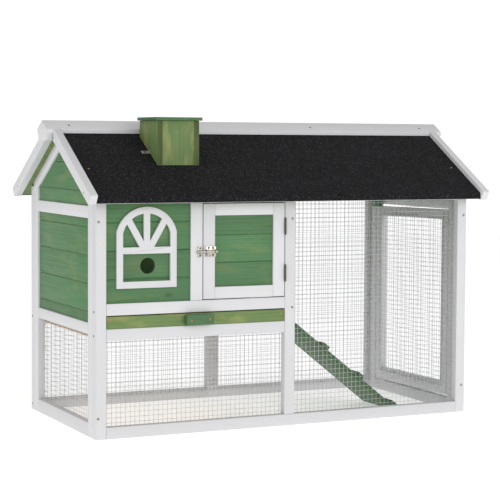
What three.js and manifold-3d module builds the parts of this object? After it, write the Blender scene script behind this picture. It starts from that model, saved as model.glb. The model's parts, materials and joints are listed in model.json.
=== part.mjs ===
// A wooden rabbit hutch: a boarded sleeping room on the left, raised over a wire run that also fills the
// right half, under one pitched felt roof. Millimetres. +X runs along the front to the right, +Y to the back
// and +Z up. The origin is on the ground under the middle of the hutch.
import * as THREE from "three";
import { mergeVertices } from "three/addons/utils/BufferGeometryUtils.js";
import Module from "manifold-3d";

const wasm = await Module();
wasm.setup();

// ---- Driving dimensions ----

// The whole frame.
const LENGTH = 1100; // outside of the left end to outside of the right end
const DEPTH = 530; // outside of the front to outside of the back
const WALL_HEIGHT = 629; // top of the front and back frames
const FIT = 0.3; // between two pieces that are butted, glued or stapled together

// Lumber.
const FRONT_FRAME_THICK = 22; // front and back frames
const END_FRAME_THICK = 20; // left and right frames
const CORNER_STILE_WIDE = 28;
const CENTRE_STILE_WIDE = 30;
const CENTRE_STILE_X = -2; // middle of the centre stile, the line between the room and the run
const BACK_CENTRE_STILE_WIDE = 38;
const FRONT_WALL_WIDE = 232; // the boarded wall on the left of the door
const DOOR_POST_WIDE = 33;
const RAIL_HIGH = 30; // front and back rails
const END_STILE_WIDE = 38;
const END_BOTTOM_RAIL_HIGH = 36;
const RIGHT_BOTTOM_RAIL_HIGH = 32;
const RAFTER_WIDE = 30;

// Heights of the rails above the ground.
const TRAY_RAIL_TOP = 281; // the rail under the tray, and the runners level with it
const TRAY_SLOT_HIGH = 34.5;
const LEFT_MID_RAIL = [TRAY_RAIL_TOP - 17, TRAY_RAIL_TOP + 12];
const BACK_MID_RAIL = [TRAY_RAIL_TOP - 17, TRAY_RAIL_TOP + 13];
const LEFT_UPPER_RAIL = [WALL_HEIGHT - 68, WALL_HEIGHT - 37];
const RIGHT_UPPER_RAIL = [WALL_HEIGHT - 59, WALL_HEIGHT - 29];

// Boarded walls: tongue-and-groove boards that lie flat in their frames.
const BOARD_THICK = 10;
const BOARD_PITCH = 72.5;
const BOARD_SET_BACK = 5; // from the frame's outer face
const GROOVE_WIDE = 4;
const GROOVE_DEEP = 2.5;
const FRONT_WALL_FIRST_GROOVE = 406.5;
const DOOR_FIRST_GROOVE = 442.5;
const END_WALL_FIRST_GROOVE = 320.5;
const GABLE_FIRST_GROOVE = 630;
const BACK_WALL_FIRST_GROOVE = 366.5;
const PARTITION_THICK = 10;
const DOORWAY_WIDE = 160;
const DOORWAY_HIGH = 225;
const DOORWAY_SILL = 4;

// Wire mesh, as flat sheets as thick as its wires.
const MESH_THICK = 1.2;
const MESH_LAP = 10; // onto the lumber round each opening

// Roof.
const ROOF_PITCH = THREE.MathUtils.degToRad(30);
const DECK_THICK = 12;
const FELT_THICK = 2.5;
const EAVE_OUT = 47; // from the front frame to the eave
const BARGEBOARD_THICK = 20;
const BARGEBOARD_WIDE = 30;
const BARGEBOARD_OVERHANG = 36; // from an end frame's outer face to the bargeboard's outer face
const BARGEBOARD_PROUD = 10.5; // above the felt, square to the slope
const BARGEBOARD_PAST_EAVE = 14;
const BARGEBOARD_TOP_GAP = 30; // from the middle of the ridge to the board's square upper end
const BARGEBOARD_FOOT_CUT = 3; // height that is cut off the lowest corner
const RIDGE_CAP_OVERHANG = 19; // past the bargeboards at each end
const RIDGE_CAP_WIDE = 80;
const RIDGE_CAP_EDGE = 12; // height of the cap's upright edges
const RIDGE_BLOCK_TOP_WIDE = 76;
const RIDGE_BLOCK_FOOT_WIDE = 60;
const RIDGE_BLOCK_DROP = 19; // from the cap's edges down to the block's foot

// Chimney, a false one that stands on the front slope.
const CHIMNEY_FROM_END = 200; // from the left end of the frame
const CHIMNEY_LONG = 118;
const CHIMNEY_DEEP = 128.5;
const CHIMNEY_FROM_RIDGE = 54;
const CHIMNEY_OVER_RIDGE = 12.6; // its boards' tops over the felt on the ridge
const CHIMNEY_BOARD = 11;
const CHIMNEY_CAP_THICK = 8.5;
const CHIMNEY_CAP_OVERHANG = 7;

// False window on the front wall: a frame with an arched top, a bar across it and three rays.
const WINDOW_OFF = -7; // from the middle of the boarded wall
const WINDOW_WIDE = 164;
const WINDOW_OVER_SILL = 38;
const WINDOW_UNDER_RAIL = 8;
const WINDOW_ARC_RADIUS = 84.5; // over half the width, so that the arch meets the sides at a slight corner
const WINDOW_BAR = 17;
const WINDOW_CROSS_BAR_DROP = 18.5; // from the arc's centre to the top of the bar across
const WINDOW_RAY_ANGLE = THREE.MathUtils.degToRad(30);
const WINDOW_THICK = 8;
const PEEP_HOLE_RADIUS = 20.5;
const PEEP_HOLE_OFF = 5; // from the window's middle line
const PEEP_HOLE_UP = 56; // from the window's foot

// Front door and its barrel bolt.
const DOOR_GAP = 2.5;
const DOOR_THICK = 20;
const DOOR_STILE_WIDE = 33;
const DOOR_RAIL_HIGH = 31;
const HINGE_RADIUS = 3.5;
const HINGE_LONG = 44;
const HINGE_LEAF_WIDE = 16;
const HINGE_LEAF_THICK = 1;
const BOLT_PLATE_WIDE = 30;
const BOLT_PLATE_HIGH = 28;
const BOLT_PLATE_THICK = 1.5;
const BOLT_PLATE_FROM_EDGE = 5;
const BOLT_STRAP_WIDE = 3;
const BOLT_RADIUS = 3;
const BOLT_RUNNING_GAP = 0.4;
const BOLT_REACH = 20; // how far the rod stands out past the door's edge
const KEEPER_WIDE = 14;
const KEEPER_FROM_DOOR = 3;
const KNOB_RADIUS = 2.5;
const KNOB_DROP = 13;

// Tray.
const TRAY_GAP = 2; // each side, in its slot
const TRAY_LIFT = 0.6; // above the rail and the runners
const TRAY_FRONT_THICK = 18;
const TRAY_FRONT_HIGH = 31;
const TRAY_FLOOR_THICK = 5;
const TRAY_RIM_THICK = 8;
const TRAY_RIM_HIGH = 29;
const TRAY_BACK_GAP = 6;
const TRAY_HANDLE = { wide: 76, high: 27, out: 20 };
const RUNNER_WIDE = 20;

// Ramp.
const RAMP_WIDE = 168;
const RAMP_FRONT_Y = -165;
const RAMP_THICK = 12;
const RAMP_ANGLE = THREE.MathUtils.degToRad(38.6);
const RAMP_DROP = 11; // from the top of the cross rail to the ramp's upper edge
const RAMP_FOOT_LIFT = 1;
const CLEAT = { wide: 22, high: 12, first: 50, pitch: 140, count: 4, inset: 6 };

// Mesh door in the right end. Its frame has racked a little: stiles upright, rails dropping to the back.
const END_DOOR_GAP = 3;
const END_DOOR_TOP_GAP = 2.3; // at the hinges
const END_DOOR_BOTTOM_GAP = 1; // at the lowest corner
const END_DOOR_SAG = THREE.MathUtils.degToRad(0.8);
const END_DOOR_STILE_WIDE = 32;
const END_DOOR_BOTTOM_WIDE = 35.5;
const END_DOOR_TOP_WIDE = 28;
const END_DOOR_STOP = { long: 43, high: 17, thick: 16, below: 8 };
const TURN_BUTTON = { long: 55, wide: 18, thick: 10, in: 7, z: 315 }; // in: from the stile's edge to the screw

// ---- Sizes worked out from them ----

const LEFT = -LENGTH / 2;
const RIGHT = LENGTH / 2;
const FRONT = -DEPTH / 2;
const BACK = DEPTH / 2;
const FRONT_INNER = FRONT + FRONT_FRAME_THICK;
const BACK_INNER = BACK - FRONT_FRAME_THICK;
const LEFT_INNER = LEFT + END_FRAME_THICK;
const RIGHT_INNER = RIGHT - END_FRAME_THICK;
const FRONT_OPEN_LEFT = LEFT + CORNER_STILE_WIDE;
const FRONT_OPEN_RIGHT = RIGHT - CORNER_STILE_WIDE;
const CENTRE_LEFT = CENTRE_STILE_X - CENTRE_STILE_WIDE / 2;
const CENTRE_RIGHT = CENTRE_STILE_X + CENTRE_STILE_WIDE / 2;
const TOP_RAIL_BOTTOM = WALL_HEIGHT - RAIL_HIGH;
const SILL_BOTTOM = TRAY_RAIL_TOP + TRAY_SLOT_HIGH;
const SILL_TOP = SILL_BOTTOM + RAIL_HIGH;
const DOOR_POST_LEFT = FRONT_OPEN_LEFT + FRONT_WALL_WIDE;
const DOOR_POST_RIGHT = DOOR_POST_LEFT + DOOR_POST_WIDE;
const DOOR_LEFT = DOOR_POST_RIGHT + DOOR_GAP;
const DOOR_RIGHT = CENTRE_LEFT - DOOR_GAP;
const DOOR_BOTTOM = SILL_TOP + DOOR_GAP;
const DOOR_TOP = TOP_RAIL_BOTTOM - DOOR_GAP;
const END_STILE_INNER = BACK_INNER - END_STILE_WIDE; // distance from the middle plane, front and back
const INSIDE_HALF = BACK_INNER - MESH_THICK - 2 * FIT; // half the depth that is clear between the mesh sheets

// Levels on the roof: height at distance y from the ridge, from the height over the ridge.
const SLOPE = Math.tan(ROOF_PITCH);
const upright = (square) => square / Math.cos(ROOF_PITCH); // a thickness square to the slope, as a height
const DECK_UNDER = WALL_HEIGHT + upright(FIT) + (DEPTH / 2) * SLOPE;
const DECK_TOP = DECK_UNDER + upright(DECK_THICK);
const FELT_UNDER = DECK_TOP + upright(FIT);
const FELT_TOP = FELT_UNDER + upright(FELT_THICK - FIT);
const RAFTER_TOP = DECK_UNDER - upright(FIT);
const RAFTER_UNDER = RAFTER_TOP - upright(RAFTER_WIDE);
const fall = (ridgeHeight, y) => ridgeHeight - SLOPE * Math.abs(y);

// ---- Materials ----

const finish = (color, roughness, metalness = 0) => () =>
  new THREE.MeshStandardMaterial({ color, roughness, metalness });
const whitePaint = finish(0xdcdcde, 0.6);
const greenStain = finish(0x4f8f55, 0.7);
const oliveStain = finish(0x7c9a58, 0.7);
const bareWood = finish(0xc8b48c, 0.8);
const roofFelt = finish(0x232326, 0.95);
const galvanisedWire = finish(0xa9acae, 0.45, 0.9);
const platedSteel = finish(0xb4b0a4, 0.35, 0.9);

// ---- Ways to shape and place a piece ----

function addPiece(parent, name, material, geometry, position = [0, 0, 0]) {
  const mesh = new THREE.Mesh(geometry, material());
  mesh.name = name;
  mesh.position.set(...position);
  parent.add(mesh);
  return mesh;
}

function addGroup(parent, position = [0, 0, 0]) {
  const group = new THREE.Group();
  group.position.set(...position);
  parent.add(group);
  return group;
}

// A square-cut block between two limits on each axis.
function addBlock(parent, name, material, [x0, x1], [y0, y1], [z0, z1]) {
  const geometry = new THREE.BoxGeometry(x1 - x0, y1 - y0, z1 - z0);
  return addPiece(parent, name, material, geometry, [(x0 + x1) / 2, (y0 + y1) / 2, (z0 + z1) / 2]);
}

const AXIS = [new THREE.Vector3(1, 0, 0), new THREE.Vector3(0, 1, 0), new THREE.Vector3(0, 0, 1)];
const TURNED = {
  x: new THREE.Matrix4().makeBasis(AXIS[1], AXIS[2], AXIS[0]),
  y: new THREE.Matrix4().makeBasis(AXIS[0], AXIS[2], AXIS[1].clone().negate()),
  z: new THREE.Matrix4(),
};

// An outline pushed along an axis from start to end: drawn in (y, z) for x, (x, z) for y and (x, y) for z.
function prism(outline, axis, [start, end]) {
  const shape = outline instanceof THREE.Shape ? outline : new THREE.Shape(outline.map(toPoint));
  const push = { depth: end - start, bevelEnabled: false, curveSegments: 24 };
  const geometry = new THREE.ExtrudeGeometry(shape, push);
  geometry.applyMatrix4(TURNED[axis]);
  const from = axis === "y" ? end : start; // turned to y, the push runs backwards
  return geometry.translate(...AXIS["xyz".indexOf(axis)].clone().multiplyScalar(from).toArray());
}

const toPoint = ([a, b]) => new THREE.Vector2(a, b);
const rectangle = ([a0, a1], [b0, b1]) => [[a0, b0], [a1, b0], [a1, b1], [a0, b1]];

function toSolid(geometry) {
  const bare = geometry.clone();
  bare.deleteAttribute("normal");
  bare.deleteAttribute("uv");
  const merged = mergeVertices(bare, 1e-4);
  const triVerts = new Uint32Array(merged.index.array);
  const vertProperties = merged.attributes.position.array;
  return new wasm.Manifold(new wasm.Mesh({ numProp: 3, vertProperties, triVerts }));
}

function toGeometry(solid) {
  const { vertProperties, triVerts } = solid.getMesh();
  const geometry = new THREE.BufferGeometry();
  geometry.setAttribute("position", new THREE.BufferAttribute(vertProperties, 3));
  geometry.setIndex(new THREE.BufferAttribute(triVerts, 1));
  geometry.computeVertexNormals();
  return geometry;
}

const joined = (...parts) => toGeometry(parts.map(toSolid).reduce((whole, part) => whole.add(part)));
const cut = (body, ...tools) => {
  const left = tools.map(toSolid).reduce((rest, tool) => rest.subtract(tool), toSolid(body));
  return toGeometry(left);
};
const shared = (a, b) => toGeometry(toSolid(a).intersect(toSolid(b)));

// A prism with openings right through it, cut by longer prisms.
function openedPrism(outline, openings, axis, [start, end]) {
  const through = openings.map((opening) => prism(opening, axis, [start - 1, end + 1]));
  return cut(prism(outline, axis, [start, end]), ...through);
}

// The section of a wall of boards: its face at 0, its back at BOARD_THICK, and a V groove at each joint.
function boardedSection([bottom, top], firstGroove) {
  const face = [[0, bottom]];
  const lowest = firstGroove - Math.floor((firstGroove - bottom) / BOARD_PITCH) * BOARD_PITCH;
  for (let z = lowest; z < top - GROOVE_WIDE; z += BOARD_PITCH) {
    if (z < bottom + GROOVE_WIDE) continue;
    face.push([0, z - GROOVE_WIDE / 2], [GROOVE_DEEP, z], [0, z + GROOVE_WIDE / 2]);
  }
  face.push([0, top], [BOARD_THICK, top], [BOARD_THICK, bottom]);
  return face;
}

// A boarded wall that faces -Y (front), +Y (back), -X (left) or +X (right), with its outer face at `at`.
function boardedWall(facing, at, [start, end], heights, firstGroove) {
  const inward = facing === "front" || facing === "left" ? 1 : -1;
  const section = boardedSection(heights, firstGroove).map(([d, z]) => [at + inward * d, z]);
  return prism(wound(section), facing === "front" || facing === "back" ? "x" : "y", [start, end]);
}

function wound(outline) {
  return THREE.ShapeUtils.area(outline.map(toPoint)) < 0 ? [...outline].reverse() : outline;
}

// ---- Frame ----

const hutch = new THREE.Group();

function buildFrontFrame(parent) {
  const depth = [FRONT, FRONT_INNER];
  const full = [FRONT_OPEN_LEFT + FIT, FRONT_OPEN_RIGHT - FIT];
  const room = [FRONT_OPEN_LEFT + FIT, CENTRE_LEFT - FIT];
  const post = [DOOR_POST_LEFT, DOOR_POST_RIGHT];
  const centre = [CENTRE_LEFT, CENTRE_RIGHT];
  const stile = (name, across, heights) => addBlock(parent, name, whitePaint, across, depth, heights);
  stile("front_left_stile", [LEFT, FRONT_OPEN_LEFT], [0, WALL_HEIGHT]);
  stile("front_right_stile", [FRONT_OPEN_RIGHT, RIGHT], [0, WALL_HEIGHT]);
  stile("front_centre_stile", centre, [RAIL_HIGH + FIT, TOP_RAIL_BOTTOM - FIT]);
  stile("front_door_post", post, [SILL_TOP + FIT, TOP_RAIL_BOTTOM - FIT]);
  stile("front_top_rail", full, [TOP_RAIL_BOTTOM, WALL_HEIGHT]);
  stile("front_bottom_rail", full, [0, RAIL_HIGH]);
  stile("front_tray_rail", room, [TRAY_RAIL_TOP - RAIL_HIGH, TRAY_RAIL_TOP]);
  stile("front_sill_rail", room, [SILL_BOTTOM, SILL_TOP]);
}

// The back frame is glued up as one ladder: run opening, lower opening and boarded opening.
const BACK_CENTRE = [-BACK_CENTRE_STILE_WIDE / 2, BACK_CENTRE_STILE_WIDE / 2];
const BACK_ROOM = [FRONT_OPEN_LEFT, BACK_CENTRE[0]];
const BACK_RUN = [BACK_CENTRE[1], FRONT_OPEN_RIGHT];

function buildBackFrame(parent) {
  const openings = [
    rectangle(BACK_RUN, [RAIL_HIGH, TOP_RAIL_BOTTOM]),
    rectangle(BACK_ROOM, [RAIL_HIGH, BACK_MID_RAIL[0]]),
    rectangle(BACK_ROOM, [BACK_MID_RAIL[1], TOP_RAIL_BOTTOM]),
  ];
  const ladder = openedPrism(rectangle([LEFT, RIGHT], [0, WALL_HEIGHT]), openings, "y", [BACK_INNER, BACK]);
  addPiece(parent, "back_frame", whitePaint, ladder);
}

// Both end frames: stiles cut to the roof's slope, a pair of rafters joined at the ridge, and rails between.
function buildEndFrame(parent, side, across, rails) {
  const outer = BACK_INNER - FIT;
  for (const [place, sign] of [["front", -1], ["back", 1]]) {
    const under = (y) => fall(RAFTER_UNDER, y) - upright(FIT);
    const outline = [[sign * outer, 0], [sign * END_STILE_INNER, 0]];
    outline.push([sign * END_STILE_INNER, under(END_STILE_INNER)], [sign * outer, under(outer)]);
    addPiece(parent, `${side}_${place}_stile`, whitePaint, prism(wound(outline), "x", across));
  }
  const rafters = [
    [-outer, fall(RAFTER_TOP, outer)], [-outer, fall(RAFTER_UNDER, outer)], [0, RAFTER_UNDER],
    [outer, fall(RAFTER_UNDER, outer)], [outer, fall(RAFTER_TOP, outer)], [0, RAFTER_TOP],
  ];
  addPiece(parent, `${side}_rafters`, whitePaint, prism(wound(rafters), "x", across));
  const between = [-END_STILE_INNER + FIT, END_STILE_INNER - FIT];
  for (const [name, heights] of Object.entries(rails)) {
    addBlock(parent, `${side}_${name}`, whitePaint, across, between, heights);
  }
}

// A boarded gable between the upper rail, the stiles and the rafters.
function buildGable(parent, side, railTop) {
  const half = END_STILE_INNER - FIT;
  const under = (y) => fall(RAFTER_UNDER, y) - upright(FIT);
  const bottom = railTop + FIT;
  const outline = [[-half, bottom], [half, bottom], [half, under(half)], [0, under(0)], [-half, under(half)]];
  const face = side === "left" ? LEFT + BOARD_SET_BACK : RIGHT - BOARD_SET_BACK;
  const boards = boardedWall(side, face, [-half, half], [bottom, RAFTER_TOP], GABLE_FIRST_GROOVE);
  const triangle = prism(wound(outline), "x", [Math.min(LEFT, face) - 1, Math.max(RIGHT, face) + 1]);
  addPiece(parent, `${side}_gable_boards`, greenStain, shared(boards, triangle));
}

const WINDOW_X = (FRONT_OPEN_LEFT + DOOR_POST_LEFT) / 2 + WINDOW_OFF;
const WINDOW_BOTTOM = SILL_TOP + WINDOW_OVER_SILL;

function buildWalls(parent) {
  const frontFace = FRONT + BOARD_SET_BACK;
  const between = [FRONT_OPEN_LEFT + FIT, DOOR_POST_LEFT - FIT];
  const frontHeights = [SILL_TOP + FIT, TOP_RAIL_BOTTOM - FIT];
  const frontBoards = boardedWall("front", frontFace, between, frontHeights, FRONT_WALL_FIRST_GROOVE);
  const hole = new THREE.CylinderGeometry(PEEP_HOLE_RADIUS, PEEP_HOLE_RADIUS, 4 * BOARD_THICK, 32);
  hole.translate(WINDOW_X + PEEP_HOLE_OFF, frontFace, WINDOW_BOTTOM + PEEP_HOLE_UP);
  addPiece(parent, "front_wall_boards", greenStain, cut(frontBoards, hole));

  const endHeights = [LEFT_MID_RAIL[1] + FIT, LEFT_UPPER_RAIL[0] - FIT];
  const endSpan = [-END_STILE_INNER + FIT, END_STILE_INNER - FIT];
  const endBoards = boardedWall("left", LEFT + BOARD_SET_BACK, endSpan, endHeights, END_WALL_FIRST_GROOVE);
  addPiece(parent, "left_wall_boards", greenStain, endBoards);

  const backHeights = [BACK_MID_RAIL[1] + FIT, TOP_RAIL_BOTTOM - FIT];
  const backSpan = [BACK_ROOM[0] + FIT, BACK_ROOM[1] - FIT];
  const backFace = BACK - BOARD_SET_BACK;
  const backBoards = boardedWall("back", backFace, backSpan, backHeights, BACK_WALL_FIRST_GROOVE);
  addPiece(parent, "back_wall_boards", greenStain, backBoards);

  buildGable(parent, "left", LEFT_UPPER_RAIL[1]);
  buildGable(parent, "right", RIGHT_UPPER_RAIL[1]);
}

// The rail that the room's floor and the ramp end on, the runners for the tray, and the wall above the rail.
const RAMP_MIDDLE = RAMP_FRONT_Y + RAMP_WIDE / 2;
const CROSS_RAIL_TOP = SILL_BOTTOM - FIT;
const CROSS_RAIL_BOTTOM = TRAY_RAIL_TOP - RAIL_HIGH;

function buildInside(parent) {
  const span = [-INSIDE_HALF, INSIDE_HALF];
  const runnerHeights = [CROSS_RAIL_BOTTOM, TRAY_RAIL_TOP];
  const heights = [CROSS_RAIL_BOTTOM, CROSS_RAIL_TOP];
  addBlock(parent, "floor_cross_rail", bareWood, [CENTRE_LEFT, CENTRE_RIGHT], span, heights);
  const starts = { left: LEFT_INNER + FIT + MESH_THICK + FIT, right: CENTRE_LEFT - FIT - RUNNER_WIDE };
  for (const [side, start] of Object.entries(starts)) {
    addBlock(parent, `tray_runner_${side}`, bareWood, [start, start + RUNNER_WIDE], span, runnerHeights);
  }

  const bottom = CROSS_RAIL_TOP + FIT;
  const under = (y) => fall(DECK_UNDER, y) - upright(FIT);
  const half = INSIDE_HALF;
  const wall = [[-half, bottom], [half, bottom], [half, under(half)], [0, under(0)], [-half, under(half)]];
  const doorway = [RAMP_MIDDLE - DOORWAY_WIDE / 2, RAMP_MIDDLE + DOORWAY_WIDE / 2];
  const opening = rectangle(doorway, [bottom + DOORWAY_SILL, bottom + DOORWAY_SILL + DOORWAY_HIGH]);
  const across = [CENTRE_STILE_X - PARTITION_THICK / 2, CENTRE_STILE_X + PARTITION_THICK / 2];
  addPiece(parent, "room_partition", greenStain, openedPrism(wall, [opening], "x", across));
}

function buildMesh(parent) {
  const lap = ([low, high]) => [low - MESH_LAP, high + MESH_LAP];
  const frontSheet = [FRONT_INNER + FIT, FRONT_INNER + FIT + MESH_THICK];
  const sheetX = [LEFT_INNER + FIT, RIGHT_INNER - FIT]; // between the end frames
  const runX = [CENTRE_RIGHT - MESH_LAP, Math.min(FRONT_OPEN_RIGHT + MESH_LAP, sheetX[1])];
  const roomX = [Math.max(FRONT_OPEN_LEFT - MESH_LAP, sheetX[0]), CENTRE_LEFT + MESH_LAP];
  const frontRun = lap([RAIL_HIGH, TOP_RAIL_BOTTOM]);
  const frontLower = lap([RAIL_HIGH, TRAY_RAIL_TOP - RAIL_HIGH]);
  addBlock(parent, "front_run_mesh", galvanisedWire, runX, frontSheet, frontRun);
  addBlock(parent, "front_lower_mesh", galvanisedWire, roomX, frontSheet, frontLower);

  // One sheet cut to an L closes both wire openings of the back frame.
  const lowerTop = BACK_MID_RAIL[0] + MESH_LAP;
  const step = BACK_RUN[0] - MESH_LAP;
  const [bottom, top] = frontRun;
  const backRoomLeft = roomX[0];
  const corner = [[backRoomLeft, bottom], [runX[1], bottom], [runX[1], top], [step, top], [step, lowerTop]];
  const sheet = [...corner, [backRoomLeft, lowerTop]];
  const backSheet = [BACK_INNER - FIT - MESH_THICK, BACK_INNER - FIT];
  addPiece(parent, "back_mesh", galvanisedWire, prism(wound(sheet), "y", backSheet));

  const leftSheet = [LEFT_INNER + FIT, LEFT_INNER + FIT + MESH_THICK];
  const leftY = lap([-END_STILE_INNER, END_STILE_INNER]);
  const leftZ = lap([END_BOTTOM_RAIL_HIGH, LEFT_MID_RAIL[0]]);
  addBlock(parent, "left_lower_mesh", galvanisedWire, leftSheet, leftY, leftZ);
}

// The bars are as wide as the frame, and the rays fan out from the middle of the cross bar's underside.
function buildWindowTrim(parent) {
  const half = WINDOW_WIDE / 2;
  const depth = [FRONT + BOARD_SET_BACK - FIT - WINDOW_THICK, FRONT + BOARD_SET_BACK - FIT];
  const arcZ = TOP_RAIL_BOTTOM - WINDOW_UNDER_RAIL - WINDOW_ARC_RADIUS;
  const barTop = arcZ - WINDOW_CROSS_BAR_DROP;
  const barBottom = barTop - WINDOW_BAR;
  const arch = (inset, bottom) => {
    const radius = WINDOW_ARC_RADIUS - inset;
    const corner = Math.acos((half - inset) / radius);
    const shape = new THREE.Shape();
    shape.moveTo(WINDOW_X - half + inset, bottom);
    shape.lineTo(WINDOW_X + half - inset, bottom);
    shape.absarc(WINDOW_X, arcZ, radius, corner, Math.PI - corner);
    return shape;
  };
  const rim = openedPrism(arch(0, WINDOW_BOTTOM), [arch(WINDOW_BAR, WINDOW_BOTTOM + WINDOW_BAR)], "y", depth);
  const within = WINDOW_BAR - FIT; // bars run a little into the rim
  const light = prism(arch(within, barBottom), "y", depth);
  const barX = [WINDOW_X - half + within, WINDOW_X + half - within];
  const bar = prism(rectangle(barX, [barBottom, barTop]), "y", depth);
  const rays = [-WINDOW_RAY_ANGLE, 0, WINDOW_RAY_ANGLE].map((angle) => {
    const ray = new THREE.BoxGeometry(WINDOW_BAR, WINDOW_THICK, 2 * WINDOW_WIDE);
    return ray.rotateY(angle).translate(WINDOW_X, (depth[0] + depth[1]) / 2, barBottom);
  });
  addPiece(parent, "window_trim", whitePaint, joined(rim, bar, shared(joined(...rays), light)));
}

// ---- Roof ----

const EAVE_Y = DEPTH / 2 + EAVE_OUT;
const BARGEBOARD_OUTER = LENGTH / 2 + BARGEBOARD_OVERHANG;
const BARGEBOARD_INNER = BARGEBOARD_OUTER - BARGEBOARD_THICK;
const CAP_HALF = RIDGE_CAP_WIDE / 2;
const CAP_BOTTOM = FELT_TOP + upright(FIT); // over the ridge, on the felt
const CAP_SIDE_BOTTOM = fall(CAP_BOTTOM, CAP_HALF);

// One slope's layer between two levels, cut plumb at the ridge and square at the eave.
function layer(sign, underneath, above, eave) {
  const ridge = FIT / 2;
  const out = [[ridge, fall(underneath, ridge)], [eave, fall(underneath, eave)]];
  out.push([eave, fall(above, eave)], [ridge, fall(above, ridge)]);
  return wound(out.map(([y, z]) => [sign * y, z]));
}

// Felt lies on the deck and turns down over its edge.
function feltOutline(sign) {
  const ridge = FIT / 2;
  const edge = EAVE_Y - FELT_THICK;
  const skirt = fall(DECK_UNDER, EAVE_Y);
  const out = [[ridge, fall(FELT_UNDER, ridge)], [edge, fall(FELT_UNDER, edge)], [edge, skirt]];
  out.push([EAVE_Y, skirt], [EAVE_Y, fall(FELT_TOP, EAVE_Y)], [ridge, fall(FELT_TOP, ridge)]);
  return wound(out.map(([y, z]) => [sign * y, z]));
}

// A bargeboard's side: square lower end with its foot cut level, square upper end tucked under the ridge cap.
function bargeboardOutline(sign) {
  const top = FELT_TOP + upright(BARGEBOARD_PROUD);
  const under = top - upright(BARGEBOARD_WIDE);
  const lowY = EAVE_Y + BARGEBOARD_PAST_EAVE;
  const cornerY = lowY - BARGEBOARD_WIDE * Math.sin(ROOF_PITCH);
  const footZ = fall(under, cornerY) + BARGEBOARD_FOOT_CUT;
  const footOut = cornerY + BARGEBOARD_FOOT_CUT * SLOPE;
  const footIn = cornerY - BARGEBOARD_FOOT_CUT / SLOPE;
  const plumb = CAP_HALF + FIT;
  const capUnder = CAP_BOTTOM - upright(FIT);
  const endY = BARGEBOARD_TOP_GAP;
  const squareY = (level) => endY - ((capUnder - level) * Math.sin(2 * ROOF_PITCH)) / 2;
  const out = [[lowY, fall(top, lowY)], [plumb, fall(top, plumb)], [plumb, fall(capUnder, plumb)]];
  out.push([endY, fall(capUnder, endY)], [squareY(under), fall(under, squareY(under))]);
  out.push([footIn, footZ], [footOut, footZ]);
  return wound(out.map(([y, z]) => [sign * y, z]));
}

function buildRoof(parent) {
  const between = [-BARGEBOARD_INNER + FIT, BARGEBOARD_INNER - FIT];
  const deckEave = EAVE_Y - FELT_THICK - FIT;
  const ends = { left: [-BARGEBOARD_OUTER, -BARGEBOARD_INNER], right: [BARGEBOARD_INNER, BARGEBOARD_OUTER] };
  for (const [place, sign] of [["front", -1], ["back", 1]]) {
    const deck = prism(layer(sign, DECK_UNDER, DECK_TOP, deckEave), "x", between);
    addPiece(parent, `roof_${place}_deck`, oliveStain, deck);
    addPiece(parent, `roof_${place}_felt`, roofFelt, prism(feltOutline(sign), "x", between));
    for (const [side, across] of Object.entries(ends)) {
      const board = prism(bargeboardOutline(sign), "x", across);
      addPiece(parent, `${side}_${place}_bargeboard`, whitePaint, board);
    }
  }
  const edgeTop = CAP_SIDE_BOTTOM + RIDGE_CAP_EDGE;
  const cap = [[-CAP_HALF, CAP_SIDE_BOTTOM], [0, CAP_BOTTOM], [CAP_HALF, CAP_SIDE_BOTTOM]];
  cap.push([CAP_HALF, edgeTop], [0, edgeTop + CAP_HALF * SLOPE], [-CAP_HALF, edgeTop]);
  const capEnd = BARGEBOARD_OUTER + RIDGE_CAP_OVERHANG;

  // A block glued under each end of the cap closes its hollow and covers the bargeboards' joint.
  const [blockTop, blockFoot] = [RIDGE_BLOCK_TOP_WIDE / 2, RIDGE_BLOCK_FOOT_WIDE / 2];
  const glued = CAP_BOTTOM + RIDGE_CAP_EDGE / 2; // inside the cap
  const footLevel = CAP_SIDE_BOTTOM - RIDGE_BLOCK_DROP;
  const block = [[-blockFoot, footLevel], [blockFoot, footLevel], [blockTop, glued - blockTop * SLOPE]];
  block.push([0, glued], [-blockTop, glued - blockTop * SLOPE]);
  const blockEnds = [[-capEnd, -BARGEBOARD_OUTER - FIT], [BARGEBOARD_OUTER + FIT, capEnd]];
  const blocks = blockEnds.map((across) => prism(wound(block), "x", across));
  addPiece(parent, "ridge_cap", whitePaint, joined(prism(wound(cap), "x", [-capEnd, capEnd]), ...blocks));
}

// Four boards in a square, their lower ends cut to the slope, with a flat cap. It is open underneath.
function buildChimney(parent) {
  const seat = (y) => fall(FELT_TOP, y) + upright(FIT);
  const x0 = LEFT + CHIMNEY_FROM_END;
  const x1 = x0 + CHIMNEY_LONG;
  const y1 = -CHIMNEY_FROM_RIDGE;
  const y0 = y1 - CHIMNEY_DEEP;
  const top = FELT_TOP + CHIMNEY_OVER_RIDGE;
  const side = [[y0, seat(y0)], [y1, seat(y1)], [y1, top], [y0, top]];
  const hollow = rectangle([y0 + CHIMNEY_BOARD, y1 - CHIMNEY_BOARD], [0, top + 1]);
  const body = cut(prism(side, "x", [x0, x1]), prism(hollow, "x", [x0 + CHIMNEY_BOARD, x1 - CHIMNEY_BOARD]));
  addPiece(parent, "chimney_body", oliveStain, body);
  const over = CHIMNEY_CAP_OVERHANG;
  const capHeights = [top + FIT, top + FIT + CHIMNEY_CAP_THICK];
  addBlock(parent, "chimney_cap", greenStain, [x0 - over, x1 + over], [y0 - over, y1], capHeights);
}

// ---- Front door, its hinges and its barrel bolt ----

const HINGE_X = CENTRE_LEFT - DOOR_GAP / 2;
const HINGE_Y = FRONT - FIT - HINGE_RADIUS;

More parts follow.
